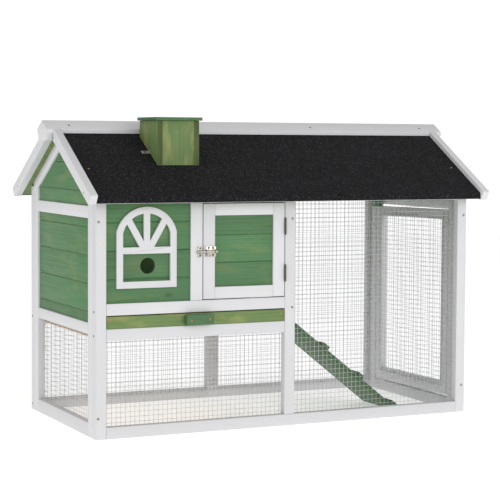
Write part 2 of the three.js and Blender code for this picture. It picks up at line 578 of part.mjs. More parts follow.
function buildFrontDoor(parent) {
  const depth = [FRONT, FRONT + DOOR_THICK];
  const inX = [DOOR_LEFT + DOOR_STILE_WIDE, DOOR_RIGHT - DOOR_STILE_WIDE];
  const inZ = [DOOR_BOTTOM + DOOR_RAIL_HIGH, DOOR_TOP - DOOR_RAIL_HIGH];
  const outside = rectangle([DOOR_LEFT, DOOR_RIGHT], [DOOR_BOTTOM, DOOR_TOP]);
  const frame = openedPrism(outside, [rectangle(inX, inZ)], "y", depth);
  addPiece(parent, "front_door_frame", whitePaint, frame);
  const inside = ([low, high]) => [low + FIT, high - FIT];
  const boards = boardedWall("front", FRONT + BOARD_SET_BACK, inside(inX), inside(inZ), DOOR_FIRST_GROOVE);
  addPiece(parent, "front_door_boards", greenStain, boards);
  const quarter = (DOOR_TOP - DOOR_BOTTOM) / 4; // the hinges sit a quarter of the way in from its foot and top
  const hinges = { lower: DOOR_BOTTOM + quarter, upper: DOOR_TOP - quarter };
  for (const [place, z] of Object.entries(hinges)) {
    const foot = [HINGE_X, HINGE_Y, z - HINGE_LONG / 2];
    addPiece(parent, `front_door_hinge_${place}`, platedSteel, hingeLeaf(), foot);
  }
}

// A knuckle with one leaf, which lies against the door's edge in the gap.
function hingeLeaf() {
  const knuckle = new THREE.CylinderGeometry(HINGE_RADIUS, HINGE_RADIUS, HINGE_LONG, 20);
  knuckle.rotateX(Math.PI / 2).translate(0, 0, HINGE_LONG / 2);
  const nearDoor = FIT - DOOR_GAP / 2;
  const leaf = rectangle([nearDoor, nearDoor + HINGE_LEAF_THICK], [0, HINGE_RADIUS + FIT + HINGE_LEAF_WIDE]);
  return joined(knuckle, prism(leaf, "z", [0, HINGE_LONG]));
}

const BOLT_PLATE_LEFT = DOOR_LEFT + BOLT_PLATE_FROM_EDGE;
const BOLT_PLATE_RIGHT = BOLT_PLATE_LEFT + BOLT_PLATE_WIDE;
const BOLT_FACE = FRONT - FIT - BOLT_PLATE_THICK; // front of the bolt's plate
const BOLT_Y = BOLT_FACE - BOLT_RUNNING_GAP - BOLT_RADIUS;
const BOLT_Z = (DOOR_BOTTOM + DOOR_TOP) / 2;

// A plate with a strap at each end that the rod runs through.
function buildBoltPlate(parent) {
  const heights = [BOLT_Z - BOLT_PLATE_HIGH / 2, BOLT_Z + BOLT_PLATE_HIGH / 2];
  const plateDepth = [BOLT_FACE, FRONT - FIT];
  const plate = prism(rectangle([BOLT_PLATE_LEFT, BOLT_PLATE_RIGHT], plateDepth), "z", heights);
  const bore = BOLT_RADIUS + BOLT_RUNNING_GAP;
  const wall = bore + BOLT_PLATE_THICK;
  const strap = (start) => {
    const hump = new THREE.CylinderGeometry(wall, wall, BOLT_STRAP_WIDE, 24);
    hump.rotateZ(Math.PI / 2).translate(start + BOLT_STRAP_WIDE / 2, BOLT_Y, BOLT_Z);
    const foot = prism(rectangle([start, start + BOLT_STRAP_WIDE], [BOLT_Y, BOLT_FACE + FIT]), "z", [
      BOLT_Z - wall, BOLT_Z + wall,
    ]);
    return joined(hump, foot);
  };
  const way = new THREE.CylinderGeometry(bore, bore, 3 * BOLT_PLATE_WIDE, 24);
  way.rotateZ(Math.PI / 2).translate(BOLT_PLATE_LEFT, BOLT_Y, BOLT_Z);
  const straps = joined(strap(BOLT_PLATE_LEFT), strap(BOLT_PLATE_RIGHT - BOLT_STRAP_WIDE));
  addPiece(parent, "bolt_plate", platedSteel, joined(plate, cut(straps, way)));
}

function buildBoltRod(parent) {
  const start = DOOR_LEFT - BOLT_REACH;
  const end = BOLT_PLATE_RIGHT + BOLT_STRAP_WIDE;
  const rod = new THREE.CylinderGeometry(BOLT_RADIUS, BOLT_RADIUS, end - start, 20);
  rod.rotateZ(Math.PI / 2).translate((start + end) / 2, BOLT_Y, BOLT_Z);
  const stem = new THREE.CylinderGeometry(KNOB_RADIUS, KNOB_RADIUS, KNOB_DROP, 16);
  const knobX = BOLT_PLATE_LEFT + BOLT_STRAP_WIDE + KNOB_RADIUS + BOLT_RUNNING_GAP;
  stem.rotateX(Math.PI / 2).translate(knobX, BOLT_Y, BOLT_Z - KNOB_DROP / 2);
  addPiece(parent, "bolt_rod", platedSteel, joined(rod, stem));
}

function buildKeeper(parent) {
  const right = DOOR_LEFT - KEEPER_FROM_DOOR;
  const heights = [BOLT_Z - BOLT_PLATE_HIGH / 2, BOLT_Z + BOLT_PLATE_HIGH / 2];
  const across = [right - KEEPER_WIDE, right];
  addBlock(parent, "bolt_keeper", platedSteel, across, [BOLT_FACE, FRONT - FIT], heights);
}

// ---- Tray ----

function buildTray(parent) {
  const x = [FRONT_OPEN_LEFT + TRAY_GAP, CENTRE_LEFT - TRAY_GAP];
  const z = TRAY_RAIL_TOP + TRAY_LIFT;
  const frontDepth = [FRONT, FRONT + TRAY_FRONT_THICK];
  addBlock(parent, "tray_front", oliveStain, x, frontDepth, [z, z + TRAY_FRONT_HIGH]);
  const y = [frontDepth[1] + FIT, INSIDE_HALF - TRAY_BACK_GAP];
  const pan = prism(rectangle(x, y), "z", [z, z + TRAY_RIM_HIGH]);
  const inside = ([low, high]) => [low + TRAY_RIM_THICK, high - TRAY_RIM_THICK];
  const hollow = prism(rectangle(inside(x), inside(y)), "z", [z + TRAY_FLOOR_THICK, z + 2 * TRAY_RIM_HIGH]);
  addPiece(parent, "tray_pan", bareWood, cut(pan, hollow));
  const { wide, high, out } = TRAY_HANDLE;
  const middle = (x[0] + x[1]) / 2;
  const handleZ = z + (TRAY_FRONT_HIGH - high) / 2;
  const handleX = [middle - wide / 2, middle + wide / 2];
  const handleY = [FRONT - FIT - out, FRONT - FIT];
  addBlock(parent, "tray_handle", greenStain, handleX, handleY, [handleZ, handleZ + high]);
}

// ---- Ramp ----

// Drawn flat along its own slope from its upper edge, then tilted down: cleats on top, foot cut level.
function buildRamp(parent) {
  const hinge = [CENTRE_RIGHT + 2 * FIT, RAMP_FRONT_Y, CROSS_RAIL_TOP - RAMP_DROP];
  const group = addGroup(parent, hinge);
  const run = (hinge[2] - RAMP_FOOT_LIFT) / Math.tan(RAMP_ANGLE);
  const heel = RAMP_THICK / Math.cos(RAMP_ANGLE);
  const foot = -(hinge[2] - RAMP_FOOT_LIFT);
  const side = [[0, 0], [0, -heel], [run - heel / Math.tan(RAMP_ANGLE), foot], [run, foot]];
  const board = prism(wound(side), "y", [0, RAMP_WIDE]);
  const cleats = [];
  for (let n = 0; n < CLEAT.count; n += 1) {
    const along = CLEAT.first + n * CLEAT.pitch;
    const cleat = new THREE.BoxGeometry(CLEAT.wide, RAMP_WIDE - 2 * CLEAT.inset, CLEAT.high + 1);
    cleat.translate(along, RAMP_WIDE / 2, (CLEAT.high - 1) / 2).rotateY(RAMP_ANGLE);
    cleats.push(cleat);
  }
  addPiece(group, "ramp", greenStain, joined(board, ...cleats));
}

// ---- Mesh door in the right end ----

function buildEndDoor(parent) {
  const hingeY = -END_STILE_INNER + END_DOOR_GAP;
  const wide = 2 * (END_STILE_INNER - END_DOOR_GAP);
  const drop = wide * Math.tan(END_DOOR_SAG);
  const bottom = RIGHT_BOTTOM_RAIL_HIGH + END_DOOR_BOTTOM_GAP + drop;
  const high = RIGHT_UPPER_RAIL[0] - END_DOOR_TOP_GAP - bottom;
  const leaf = addGroup(parent, [RIGHT_INNER, hingeY, bottom]);
  const racked = new THREE.Matrix4().makeShear(0, 0, 0, -Math.tan(END_DOOR_SAG), 0, 0);
  const inY = [END_DOOR_STILE_WIDE, wide - END_DOOR_STILE_WIDE];
  const inZ = [END_DOOR_BOTTOM_WIDE, high - END_DOOR_TOP_WIDE];
  const opening = rectangle(inY, inZ);
  const frame = openedPrism(rectangle([0, wide], [0, high]), [opening], "x", [0, END_FRAME_THICK]);
  addPiece(leaf, "end_door_frame", whitePaint, frame.applyMatrix4(racked));
  const sheet = rectangle([inY[0] - MESH_LAP, inY[1] + MESH_LAP], [inZ[0] - MESH_LAP, inZ[1] + MESH_LAP]);
  const mesh = prism(sheet, "x", [-FIT - MESH_THICK, -FIT]);
  addPiece(leaf, "end_door_mesh", galvanisedWire, mesh.applyMatrix4(racked));
}

// A block inside, over the door's top back corner, that the door closes against.
function buildEndDoorStop(parent) {
  const { long, high, thick, below } = END_DOOR_STOP;
  const x = [RIGHT_INNER - FIT - thick, RIGHT_INNER - FIT];
  const z = [RIGHT_UPPER_RAIL[0] - below, RIGHT_UPPER_RAIL[0] - below + high];
  addBlock(parent, "end_door_stop", greenStain, x, [END_STILE_INNER - long, END_STILE_INNER], z);
}

// A wooden button on the stile, upright when the door is free and level when it holds the door.
function buildTurnButton(parent) {
  const { long, wide, thick, in: fromEdge, z } = TURN_BUTTON;
  const y = END_STILE_INNER + fromEdge;
  const x = [RIGHT + FIT, RIGHT + FIT + thick];
  addBlock(parent, "turn_button", whitePaint, x, [y - wide / 2, y + wide / 2], [z - long / 2, z + long / 2]);
}

buildFrontFrame(hutch);
buildBackFrame(hutch);
buildEndFrame(hutch, "left", [LEFT, LEFT_INNER], {
  bottom_rail: [0, END_BOTTOM_RAIL_HIGH],
  mid_rail: LEFT_MID_RAIL,
  upper_rail: LEFT_UPPER_RAIL,
});
buildEndFrame(hutch, "right", [RIGHT_INNER, RIGHT], {
  bottom_rail: [0, RIGHT_BOTTOM_RAIL_HIGH],
  upper_rail: RIGHT_UPPER_RAIL,
});
buildWalls(hutch);
buildInside(hutch);
buildMesh(hutch);
buildWindowTrim(hutch);
buildRoof(hutch);
buildChimney(hutch);
const frontDoor = addGroup(hutch);
buildFrontDoor(frontDoor);
buildBoltPlate(frontDoor);
buildBoltRod(frontDoor);
buildKeeper(hutch);
buildTray(addGroup(hutch));
buildRamp(hutch);
buildEndDoor(hutch);
buildEndDoorStop(hutch);
buildTurnButton(hutch);

export default hutch;
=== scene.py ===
# %% [markdown]
# # A wooden rabbit hutch
# The hutch stands already in the frame: every stile, rail, board and door is a plain solid there, at its
# real size. This lesson gives each of them the look of the real thing. Lumber gets planed, rounded edges,
# grain and paint, the flat sheets that stand for wire become welded wires, and screws, hinges, staples and
# felt are added. We load the frame first.

import json
import math

import bpy
from mathutils import Matrix, Vector, noise


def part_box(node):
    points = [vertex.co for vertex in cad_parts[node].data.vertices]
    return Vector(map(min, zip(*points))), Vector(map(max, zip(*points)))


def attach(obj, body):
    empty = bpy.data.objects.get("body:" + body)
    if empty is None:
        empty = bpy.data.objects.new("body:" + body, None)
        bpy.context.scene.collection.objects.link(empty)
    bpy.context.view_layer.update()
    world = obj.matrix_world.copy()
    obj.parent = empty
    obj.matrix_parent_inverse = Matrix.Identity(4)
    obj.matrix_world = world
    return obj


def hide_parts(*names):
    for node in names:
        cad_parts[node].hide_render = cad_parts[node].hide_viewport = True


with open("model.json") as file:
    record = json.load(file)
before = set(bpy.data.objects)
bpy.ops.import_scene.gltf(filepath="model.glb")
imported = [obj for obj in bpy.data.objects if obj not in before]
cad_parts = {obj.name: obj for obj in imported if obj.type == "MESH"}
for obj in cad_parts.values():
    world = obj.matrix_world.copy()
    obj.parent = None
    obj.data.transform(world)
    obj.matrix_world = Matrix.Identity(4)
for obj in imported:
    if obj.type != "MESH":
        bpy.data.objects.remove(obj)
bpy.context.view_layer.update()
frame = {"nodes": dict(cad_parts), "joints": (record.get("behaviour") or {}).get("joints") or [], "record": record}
MM = 0.001

# %% [markdown]
# ## Camera
# A long lens from well back keeps the shape of the hutch true. The camera is placed by its position and
# three turns: to the right, down, and a very small tilt. The lens shift moves the hutch in the frame
# without turning the camera any further.

# %% Place the camera
CAMERA_PLACE = Vector((-1.934, -4.087, 0.766))
TURN_RIGHT, TURN_UP, TILT = 0.446, -0.059, -0.006
SENSOR_WIDTH, FOCAL_LENGTH = 36, 116.07
LENS_SHIFT = -0.0101, -0.0325

lens = bpy.data.cameras.new("camera")
lens.sensor_width, lens.lens = SENSOR_WIDTH, FOCAL_LENGTH
lens.shift_x, lens.shift_y = LENS_SHIFT
camera = bpy.data.objects.new("camera", lens)
bpy.context.scene.collection.objects.link(camera)
forward = math.cos(TURN_UP)
ahead = Vector((math.sin(TURN_RIGHT) * forward, math.cos(TURN_RIGHT) * forward, math.sin(TURN_UP)))
level = Vector((math.cos(TURN_RIGHT), -math.sin(TURN_RIGHT), 0))
down = ahead.cross(level)
right_side = math.cos(TILT) * level + math.sin(TILT) * down
underside = math.cos(TILT) * down - math.sin(TILT) * level
turned = Matrix((right_side, -underside, -ahead)).transposed().to_4x4()
camera.matrix_world = Matrix.Translation(CAMERA_PLACE) @ turned
bpy.context.scene.camera = camera
print("camera stands", round(CAMERA_PLACE.length, 2), "m away")

# %% [markdown]
# ## Light and floor
# A plain pale floor and an even sky do most of the lighting, as in a white studio tent. The sky is brighter
# to the camera than it is to the hutch, so the backdrop stays white and the insides stay grey. Two large
# soft lamps, one for the front and one for the left end, stand low enough to reach in under the eaves. The
# floor glows a little, as a light table does, and a faint lamp in the closed room lets its back wall show
# through the peep hole. The standard view transform keeps white paint white.

# %% Light the studio
SKY_LIGHT, SKY_SEEN = 0.6, 1.05
HUTCH_MIDDLE = (0, 0, 0.45)
FLOOR_SIZE, FLOOR_DROP = 14, 0.5 * MM
FLOOR_LOOK = {
    "Base Color": (0.97, 0.97, 0.97, 1), "Roughness": 0.9,
    "Emission Color": (1, 1, 1, 1), "Emission Strength": 0.42,
}


def soft_lamp(name, place, aim, size, power):
    lamp = bpy.data.lights.new(name, "AREA")
    lamp.shape = "RECTANGLE"
    lamp.size, lamp.size_y = size
    lamp.energy = power
    holder = bpy.data.objects.new(name, lamp)
    bpy.context.scene.collection.objects.link(holder)
    holder.location = place
    holder.rotation_euler = (Vector(aim) - Vector(place)).to_track_quat("-Z", "Y").to_euler()
    holder.visible_camera = False


world = bpy.data.worlds.new("studio")
bpy.context.scene.world = world
world.use_nodes = True
sky = world.node_tree.nodes["Background"]
sky.inputs["Color"].default_value = (1, 1, 1, 1)
seen = world.node_tree.nodes.new("ShaderNodeLightPath").outputs["Is Camera Ray"]
strength = world.node_tree.nodes.new("ShaderNodeMapRange")
strength.inputs["To Min"].default_value, strength.inputs["To Max"].default_value = SKY_LIGHT, SKY_SEEN
world.node_tree.links.new(seen, strength.inputs["Value"])
world.node_tree.links.new(strength.outputs["Result"], sky.inputs["Strength"])
soft_lamp("front_softbox", (1.1, -4.2, 1.6), HUTCH_MIDDLE, (2.6, 2.0), 48)
soft_lamp("left_softbox", (-4.2, -0.8, 1.5), HUTCH_MIDDLE, (2.2, 2.0), 27)
soft_lamp("room_glow", (-0.40, -0.16, 0.48), (-0.33, 0.24, 0.46), (0.15, 0.15), 0.24)
bpy.context.scene.view_settings.view_transform = "Standard"

bpy.ops.object.select_all(action="DESELECT")
bpy.ops.mesh.primitive_plane_add(size=FLOOR_SIZE, location=(0, 0, 0))
floor = bpy.context.object
floor.name = "floor"
floor.data.transform(Matrix.Translation((0, 0, -FLOOR_DROP)))
floor_paint = bpy.data.materials.new("floor_paint")
floor_paint.use_nodes = True
for socket, value in FLOOR_LOOK.items():
    floor_paint.node_tree.nodes["Principled BSDF"].inputs[socket].default_value = value
floor.data.materials.append(floor_paint)
print("two softboxes, a faint lamp inside, one sky and a floor")

# %% [markdown]
# ## Building materials from nodes
# Every finish here is painted by nodes, from the place of each point on the hutch. Short helpers keep the
# recipes readable: they fill or wire the sockets of a node, do arithmetic, mix colours, make noise and
# raise bumps.

# %% Helpers for nodes
def fill(tree, node, inputs):
    for name, value in inputs.items():
        if isinstance(value, bpy.types.NodeSocket):
            tree.links.new(value, node.inputs[name])
        else:
            node.inputs[name].default_value = value
    return node


def add_node(tree, kind, inputs=None, **settings):
    node = tree.nodes.new("ShaderNode" + kind)
    for name, value in settings.items():
        setattr(node, name, value)
    return fill(tree, node, inputs or {})


def calculate(tree, operation, first, second=0.0, clamp=False):
    return add_node(tree, "Math", {0: first, 1: second}, operation=operation, use_clamp=clamp).outputs[0]


def remap(tree, value, low, high, to_low=0.0, to_high=1.0):
    sockets = {"Value": value, "From Min": low, "From Max": high, "To Min": to_low, "To Max": to_high}
    return add_node(tree, "MapRange", sockets).outputs["Result"]


def mix_colours(tree, share, first, second, how="MIX"):
    sockets = {0: share, 6: first, 7: second}
    return add_node(tree, "Mix", sockets, data_type="RGBA", blend_type=how).outputs[2]


def stretch(tree, vector, scale):
    return add_node(tree, "VectorMath", {0: vector, 1: scale}, operation="MULTIPLY").outputs[0]


def speckle(tree, vector, scale, detail, roughness=0.5):
    sockets = {"Vector": vector, "Scale": scale, "Detail": detail, "Roughness": roughness}
    return add_node(tree, "TexNoise", sockets).outputs["Fac"]


def raise_bumps(tree, shader, strength, depth, height):
    bump = add_node(tree, "Bump", {"Strength": strength, "Distance": depth, "Height": height})
    tree.links.new(bump.outputs[0], shader.inputs["Normal"])


def new_group(name, inputs, outputs):
    group = bpy.data.node_groups.new(name, "ShaderNodeTree")
    for side, sockets in (("INPUT", inputs), ("OUTPUT", outputs)):
        for label, kind in sockets:
            group.interface.new_socket(name=label, in_out=side, socket_type="NodeSocket" + kind)
    start, end = group.nodes.new("NodeGroupInput"), group.nodes.new("NodeGroupOutput")
    return group, start.outputs, end.inputs


def new_material(name, **values):
    material = bpy.data.materials.new(name)
    material.use_nodes = True
    shader = material.node_tree.nodes["Principled BSDF"]
    for socket, value in values.items():
        shader.inputs[socket.replace("_", " ")].default_value = value
    return material, material.node_tree, shader


print("node helpers are ready")

# %% [markdown]
# ## Wood grain
# Fir is light early wood with darker lines of late wood. A plank's face cuts through the rings at a slant,
# which gives long ovals, fine streaks and here and there a knot. We could paint this on an image, but a
# node group works on any plank at any size: it takes a place on the plank, with X along the grain, and a
# number for the plank, so that no two planks show the same stretch of tree.

# %% Wood grain as a node group
grain_group, take, give = new_group(
    "wood_grain",
    [("Vector", "Vector"), ("Board", "Float")],
    [("Streaks", "Float"), ("Rings", "Float"), ("Knots", "Float"), ("Patches", "Float"), ("Tone", "Float")],
)
tree = grain_group
number = add_node(tree, "CombineXYZ", {0: take["Board"], 1: take["Board"], 2: take["Board"]}).outputs[0]
jump = stretch(tree, number, (3.71, 0.83, 0.57))
place = add_node(tree, "VectorMath", {0: take["Vector"], 1: jump}, operation="ADD").outputs[0]
streaks = speckle(tree, stretch(tree, place, (7, 330, 330)), 1.0, 4.0, 0.62)
ring_shape = {"Scale": 1.6, "Distortion": 5.0, "Detail": 2.0, "Detail Scale": 0.8, "Detail Roughness": 0.55}
rings = add_node(tree, "TexWave", {"Vector": stretch(tree, place, (1.5, 34, 34)), **ring_shape},
                 wave_type="RINGS", rings_direction="X", wave_profile="SAW")
cells = add_node(tree, "TexVoronoi", {"Vector": stretch(tree, place, (7, 17, 17)), "Scale": 1.0})
chance = add_node(tree, "SeparateColor", {0: cells.outputs["Color"]}).outputs[0]
rare = calculate(tree, "GREATER_THAN", chance, 0.72)
knot = remap(tree, cells.outputs["Distance"], 0.12, 0.06)
patches = speckle(tree, stretch(tree, place, (9, 26, 26)), 1.0, 3.0, 0.55)
tone = add_node(tree, "TexWhiteNoise", {"W": take["Board"]}, noise_dimensions="1D")
for label, value in {
    "Streaks": streaks, "Rings": rings.outputs["Fac"], "Patches": patches,
    "Knots": calculate(tree, "MULTIPLY", rare, knot), "Tone": tone.outputs["Value"],
}.items():
    tree.links.new(value, give[label])
print("wood_grain has", len(tree.nodes), "nodes")

# %% [markdown]
# ## Painted and stained wood
# The posts are dipped in opaque white paint, which fills the grain and lets only its relief show. The
# boards are green stain, thin enough for streaks and yellow patches to come through, and the roof boards,
# the chimney and the tray front are the same stain over yellower wood. One function makes all of them from
# a short list of colours and strengths, once for each direction that a plank can run. A plank's number and
# its worn edges come from two attributes that each piece carries.

# %% One recipe for all wood
ROOF_PITCH = math.radians(30)
RAMP_ANGLE = math.radians(38.6)
QUARTER = math.pi / 2
DIRECTIONS = {
    "x": (0, 0, 0),
    "y": (0, 0, -QUARTER),
    "z": (0, QUARTER, 0),
    "front_slope": (-ROOF_PITCH, 0, -QUARTER),
    "back_slope": (ROOF_PITCH, 0, -QUARTER),
    "ramp": (0, -RAMP_ANGLE, 0),
}
COLOURS = {  # main, deep grain, where the stain is thin, worn edge, knot
    "white_paint": ((0.7, 0.7, 0.715), (0.6, 0.6, 0.615), (0.74, 0.735, 0.73),
                    (0.5, 0.48, 0.45), (0.62, 0.58, 0.5)),
    "green_stain": ((0.082, 0.212, 0.08), (0.042, 0.13, 0.047), (0.18, 0.25, 0.09),
                    (0.22, 0.28, 0.12), (0.05, 0.1, 0.035)),
    "olive_stain": ((0.17, 0.265, 0.078), (0.09, 0.165, 0.045), (0.35, 0.355, 0.115),
                    (0.42, 0.38, 0.17), (0.16, 0.11, 0.045)),
    # the ramp: the green stain darkened, painted shade on the ramp board and its battens
    "ramp_stain": ((0.055, 0.135, 0.05), (0.028, 0.08, 0.028), (0.12, 0.17, 0.06),
                   (0.2, 0.25, 0.1), (0.04, 0.08, 0.03)),
    "sawn_olive": ((0.07, 0.105, 0.02), (0.03, 0.055, 0.01), (0.14, 0.16, 0.03),
                   (0.24, 0.22, 0.06), (0.1, 0.08, 0.03)),
    "bare_wood": ((0.56, 0.41, 0.24), (0.42, 0.27, 0.14), (0.64, 0.5, 0.32),
                  (0.5, 0.36, 0.21), (0.2, 0.1, 0.045)),
}
STRENGTHS = {  # streaks, rings, thin patches, knots, tones, roughness, relief, wear
    "white_paint": (0.1, 0.06, 0.35, 0.25, 0.05, 0.52, 0.25, 0.35),
    "green_stain": (0.42, 0.22, 0.5, 0.8, 0.22, 0.55, 0.35, 0.5),
    "olive_stain": (0.45, 0.35, 0.75, 1.0, 0.2, 0.55, 0.4, 0.6),
    "ramp_stain": (0.45, 0.25, 0.5, 0.8, 0.2, 0.55, 0.35, 0.8),
    "sawn_olive": (0.6, 0.4, 0.5, 0.6, 0.15, 0.6, 0.45, 0.7),
    "bare_wood": (0.35, 0.5, 0.4, 1.0, 0.25, 0.7, 0.5, 0.2),
}


def wood(kind, direction):
    name = f"{kind}_along_{direction}"
    if name in bpy.data.materials:
        return bpy.data.materials[name]
    main, deep, thin, worn, knot = [(*colour, 1) for colour in COLOURS[kind]]
    streak, ring, patch, knots, tones, rough, relief, wear = STRENGTHS[kind]
    material, tree, shader = new_material(name)
    here = add_node(tree, "TexCoord").outputs["Object"]
    along = add_node(tree, "Mapping", {"Vector": here, "Rotation": DIRECTIONS[direction]}).outputs[0]
    board = add_node(tree, "Attribute", attribute_name="board").outputs["Fac"]
    edge = add_node(tree, "Attribute", attribute_name="edge").outputs["Fac"]
    grain = add_node(tree, "Group", {"Vector": along, "Board": board}, node_tree=grain_group).outputs
    lines = remap(tree, grain["Streaks"], 0.38, 0.72, 0.0, streak)
    rings = calculate(tree, "MULTIPLY", calculate(tree, "POWER", grain["Rings"], 2.0), ring)
    colour = mix_colours(tree, calculate(tree, "ADD", lines, rings, True), main, deep)
    colour = mix_colours(tree, remap(tree, grain["Patches"], 0.52, 0.72, 0.0, patch), colour, thin)
    colour = mix_colours(tree, calculate(tree, "MULTIPLY", grain["Knots"], knots), colour, knot)
    tone = remap(tree, grain["Tone"], 0, 1, 1 - tones, 1 + tones / 2)
    shade = add_node(tree, "CombineColor", {0: tone, 1: tone, 2: tone}).outputs[0]
    colour = mix_colours(tree, 1.0, colour, shade, "MULTIPLY")
    scuffs = remap(tree, speckle(tree, here, 90.0, 3.0), 0.42, 0.62, 0.0, wear)
    colour = mix_colours(tree, calculate(tree, "MULTIPLY", edge, scuffs), colour, worn)
    roughness = remap(tree, grain["Streaks"], 0.3, 0.7, rough - 0.06, rough + 0.1)
    fill(tree, shader, {"Base Color": colour, "Roughness": roughness})
    lumps = calculate(tree, "MULTIPLY", speckle(tree, here, 900.0, 2.0), 0.3)
    height = calculate(tree, "ADD", lumps, grain["Streaks"])
    height = calculate(tree, "SUBTRACT", height, calculate(tree, "MULTIPLY", grain["Rings"], 0.35))
    raise_bumps(tree, shader, relief, 0.4 * MM, height)
    return material


print("kinds of wood:", ", ".join(COLOURS))

# %% [markdown]
# ## Felt, wire and plated steel
# Roofing felt is bitumen with mineral grit: nearly black and rough, with a bright grain here and there. The
# mesh is wire that was welded and then galvanised, a dull grey with small spangles. Hinges, bolt and screws
# are plated, and the plating has begun to spot with rust.

# %% Felt and metals
felt, tree, shader = new_material("mineral_felt", Roughness=0.95, Specular_IOR_Level=0.2)
here = add_node(tree, "TexCoord").outputs["Object"]
grit = add_node(tree, "TexVoronoi", {"Vector": here, "Scale": 750.0})
grain_shade = add_node(tree, "SeparateColor", {0: grit.outputs["Color"]})
fleck = remap(tree, grain_shade.outputs[0], 0.90, 0.97)
weather = speckle(tree, here, 11.0, 5.0)
dark = mix_colours(tree, grain_shade.outputs[1], (0.004, 0.004, 0.005, 1), (0.011, 0.011, 0.012, 1))
dark = mix_colours(tree, remap(tree, weather, 0.45, 0.75, 0.0, 0.35), dark, (0.014, 0.014, 0.016, 1))
tree.links.new(mix_colours(tree, fleck, dark, (0.085, 0.085, 0.095, 1)), shader.inputs["Base Color"])
grit_height = calculate(tree, "SUBTRACT", 1.0, grit.outputs["Distance"])
raise_bumps(tree, shader, 0.7, 0.5 * MM, grit_height)


def plated(name, bright, dull, spots, rough, metallic=0.85, grain_scale=260.0):
    material, tree, shader = new_material(name, Metallic=metallic)
    here = add_node(tree, "TexCoord").outputs["Object"]
    spangle, stain = speckle(tree, here, grain_scale, 4.0), speckle(tree, here, grain_scale / 2.2, 5.0)
    colour = mix_colours(tree, remap(tree, spangle, 0.35, 0.65), (*bright, 1), (*dull, 1))
    colour = mix_colours(tree, remap(tree, stain, 0.56, 0.68, 0.0, 0.8), colour, (*spots, 1))
    roughness = remap(tree, spangle, 0.3, 0.7, rough - 0.08, rough + 0.14)
    fill(tree, shader, {"Base Color": colour, "Roughness": roughness})
    raise_bumps(tree, shader, 0.2, 0.2 * MM, spangle)
    return material


# name, bright, dull, spots, roughness, then metallic and the scale of the spangles
galvanised = plated("galvanised_wire", (0.60, 0.61, 0.62), (0.46, 0.47, 0.48), (0.54, 0.54, 0.53), 0.5, 0.35)
zinc = plated("zinc_plate", (0.62, 0.60, 0.55), (0.40, 0.38, 0.34), (0.30, 0.19, 0.08), 0.34)
rusted = plated("rusted_screw", (0.13, 0.055, 0.03), (0.07, 0.03, 0.018), (0.20, 0.08, 0.03), 0.8, 0.0, 900.0)
copper_nail = plated("copper_nail", (0.72, 0.24, 0.07), (0.5, 0.15, 0.05), (0.3, 0.09, 0.03), 0.45, 0.3, 900)
dark_steel = plated("dark_steel", (0.16, 0.15, 0.14), (0.08, 0.075, 0.07), (0.13, 0.08, 0.05), 0.5, 0.6, 500)
print("felt and 5 metals")

# %% [markdown]
# ## Tools for shaping
# Pieces are shaped as by hand: a block or a rod is added at its size and place, edited, and its edges are
# rounded. A solid from the frame can also be taken as the blank: its loose triangles are merged and its
# flat faces joined, and then its edges are planed in the same way. The frame's own solid then steps back
# behind our piece.

# %% Helpers for shaping
def select_only(*pieces):
    bpy.ops.object.select_all(action="DESELECT")
    for piece in pieces:
        piece.select_set(True)
    if pieces:
        bpy.context.view_layer.objects.active = pieces[0]


def edit(piece, *steps):
    """Runs steps in edit mode on a piece, with everything in it selected at the start of each."""
    select_only(piece)
    bpy.ops.object.mode_set(mode="EDIT")
    for step in steps:
        bpy.ops.mesh.select_all(action="SELECT")
        step()
    bpy.ops.object.mode_set(mode="OBJECT")
    return piece


def cut(piece, point, normal, keep="outer"):
    """Cuts a piece with a plane, closes the cut and keeps the normal's side (outer) or the other (inner)."""
    cleared = {"clear_inner": keep == "outer", "clear_outer": keep == "inner"}
    return edit(piece, lambda: bpy.ops.mesh.bisect(plane_co=point, plane_no=normal, use_fill=True, **cleared))


def settle(piece, name):
    """Names a new primitive and puts its place into its mesh."""
    piece.name = piece.data.name = name
    bpy.ops.object.transform_apply(location=True, rotation=True, scale=True)
    return piece


def block(name, low, high):
    select_only()
    low, high = Vector(low), Vector(high)
    bpy.ops.mesh.primitive_cube_add(size=1, location=(low + high) / 2)
    bpy.context.object.scale = high - low
    return settle(bpy.context.object, name)


def rod(name, start, end, radius, sides=16):
    select_only()
    start, end = Vector(start), Vector(end)
    turn = (end - start).to_track_quat("Z", "Y").to_euler()
    bpy.ops.mesh.primitive_cylinder_add(vertices=sides, radius=radius, depth=(end - start).length,
                                        location=(start + end) / 2, rotation=turn)
    return settle(bpy.context.object, name)


def blank_from(node, name):
    """A copy of a frame solid with its triangles merged into whole faces."""
    piece = bpy.data.objects.new(name, frame["nodes"][node].data.copy())
    piece.data.name = name
    piece.data.materials.clear()
    bpy.context.scene.collection.objects.link(piece)
    return edit(
        piece,
        lambda: bpy.ops.mesh.customdata_custom_splitnormals_clear(),
        lambda: bpy.ops.mesh.remove_doubles(threshold=0.01 * MM),
        lambda: bpy.ops.mesh.dissolve_limited(angle_limit=math.radians(1)),
    )


def join(name, pieces):
    select_only(*pieces)
    bpy.ops.object.join()
    pieces[0].name = pieces[0].data.name = name
    return pieces[0]


def apply_modifier(piece, kind, **settings):
    select_only(piece)
    modifier = piece.modifiers.new(kind.lower(), kind)
    for name, value in settings.items():
        setattr(modifier, name, value)
    bpy.ops.object.modifier_apply(modifier=modifier.name)
    return piece


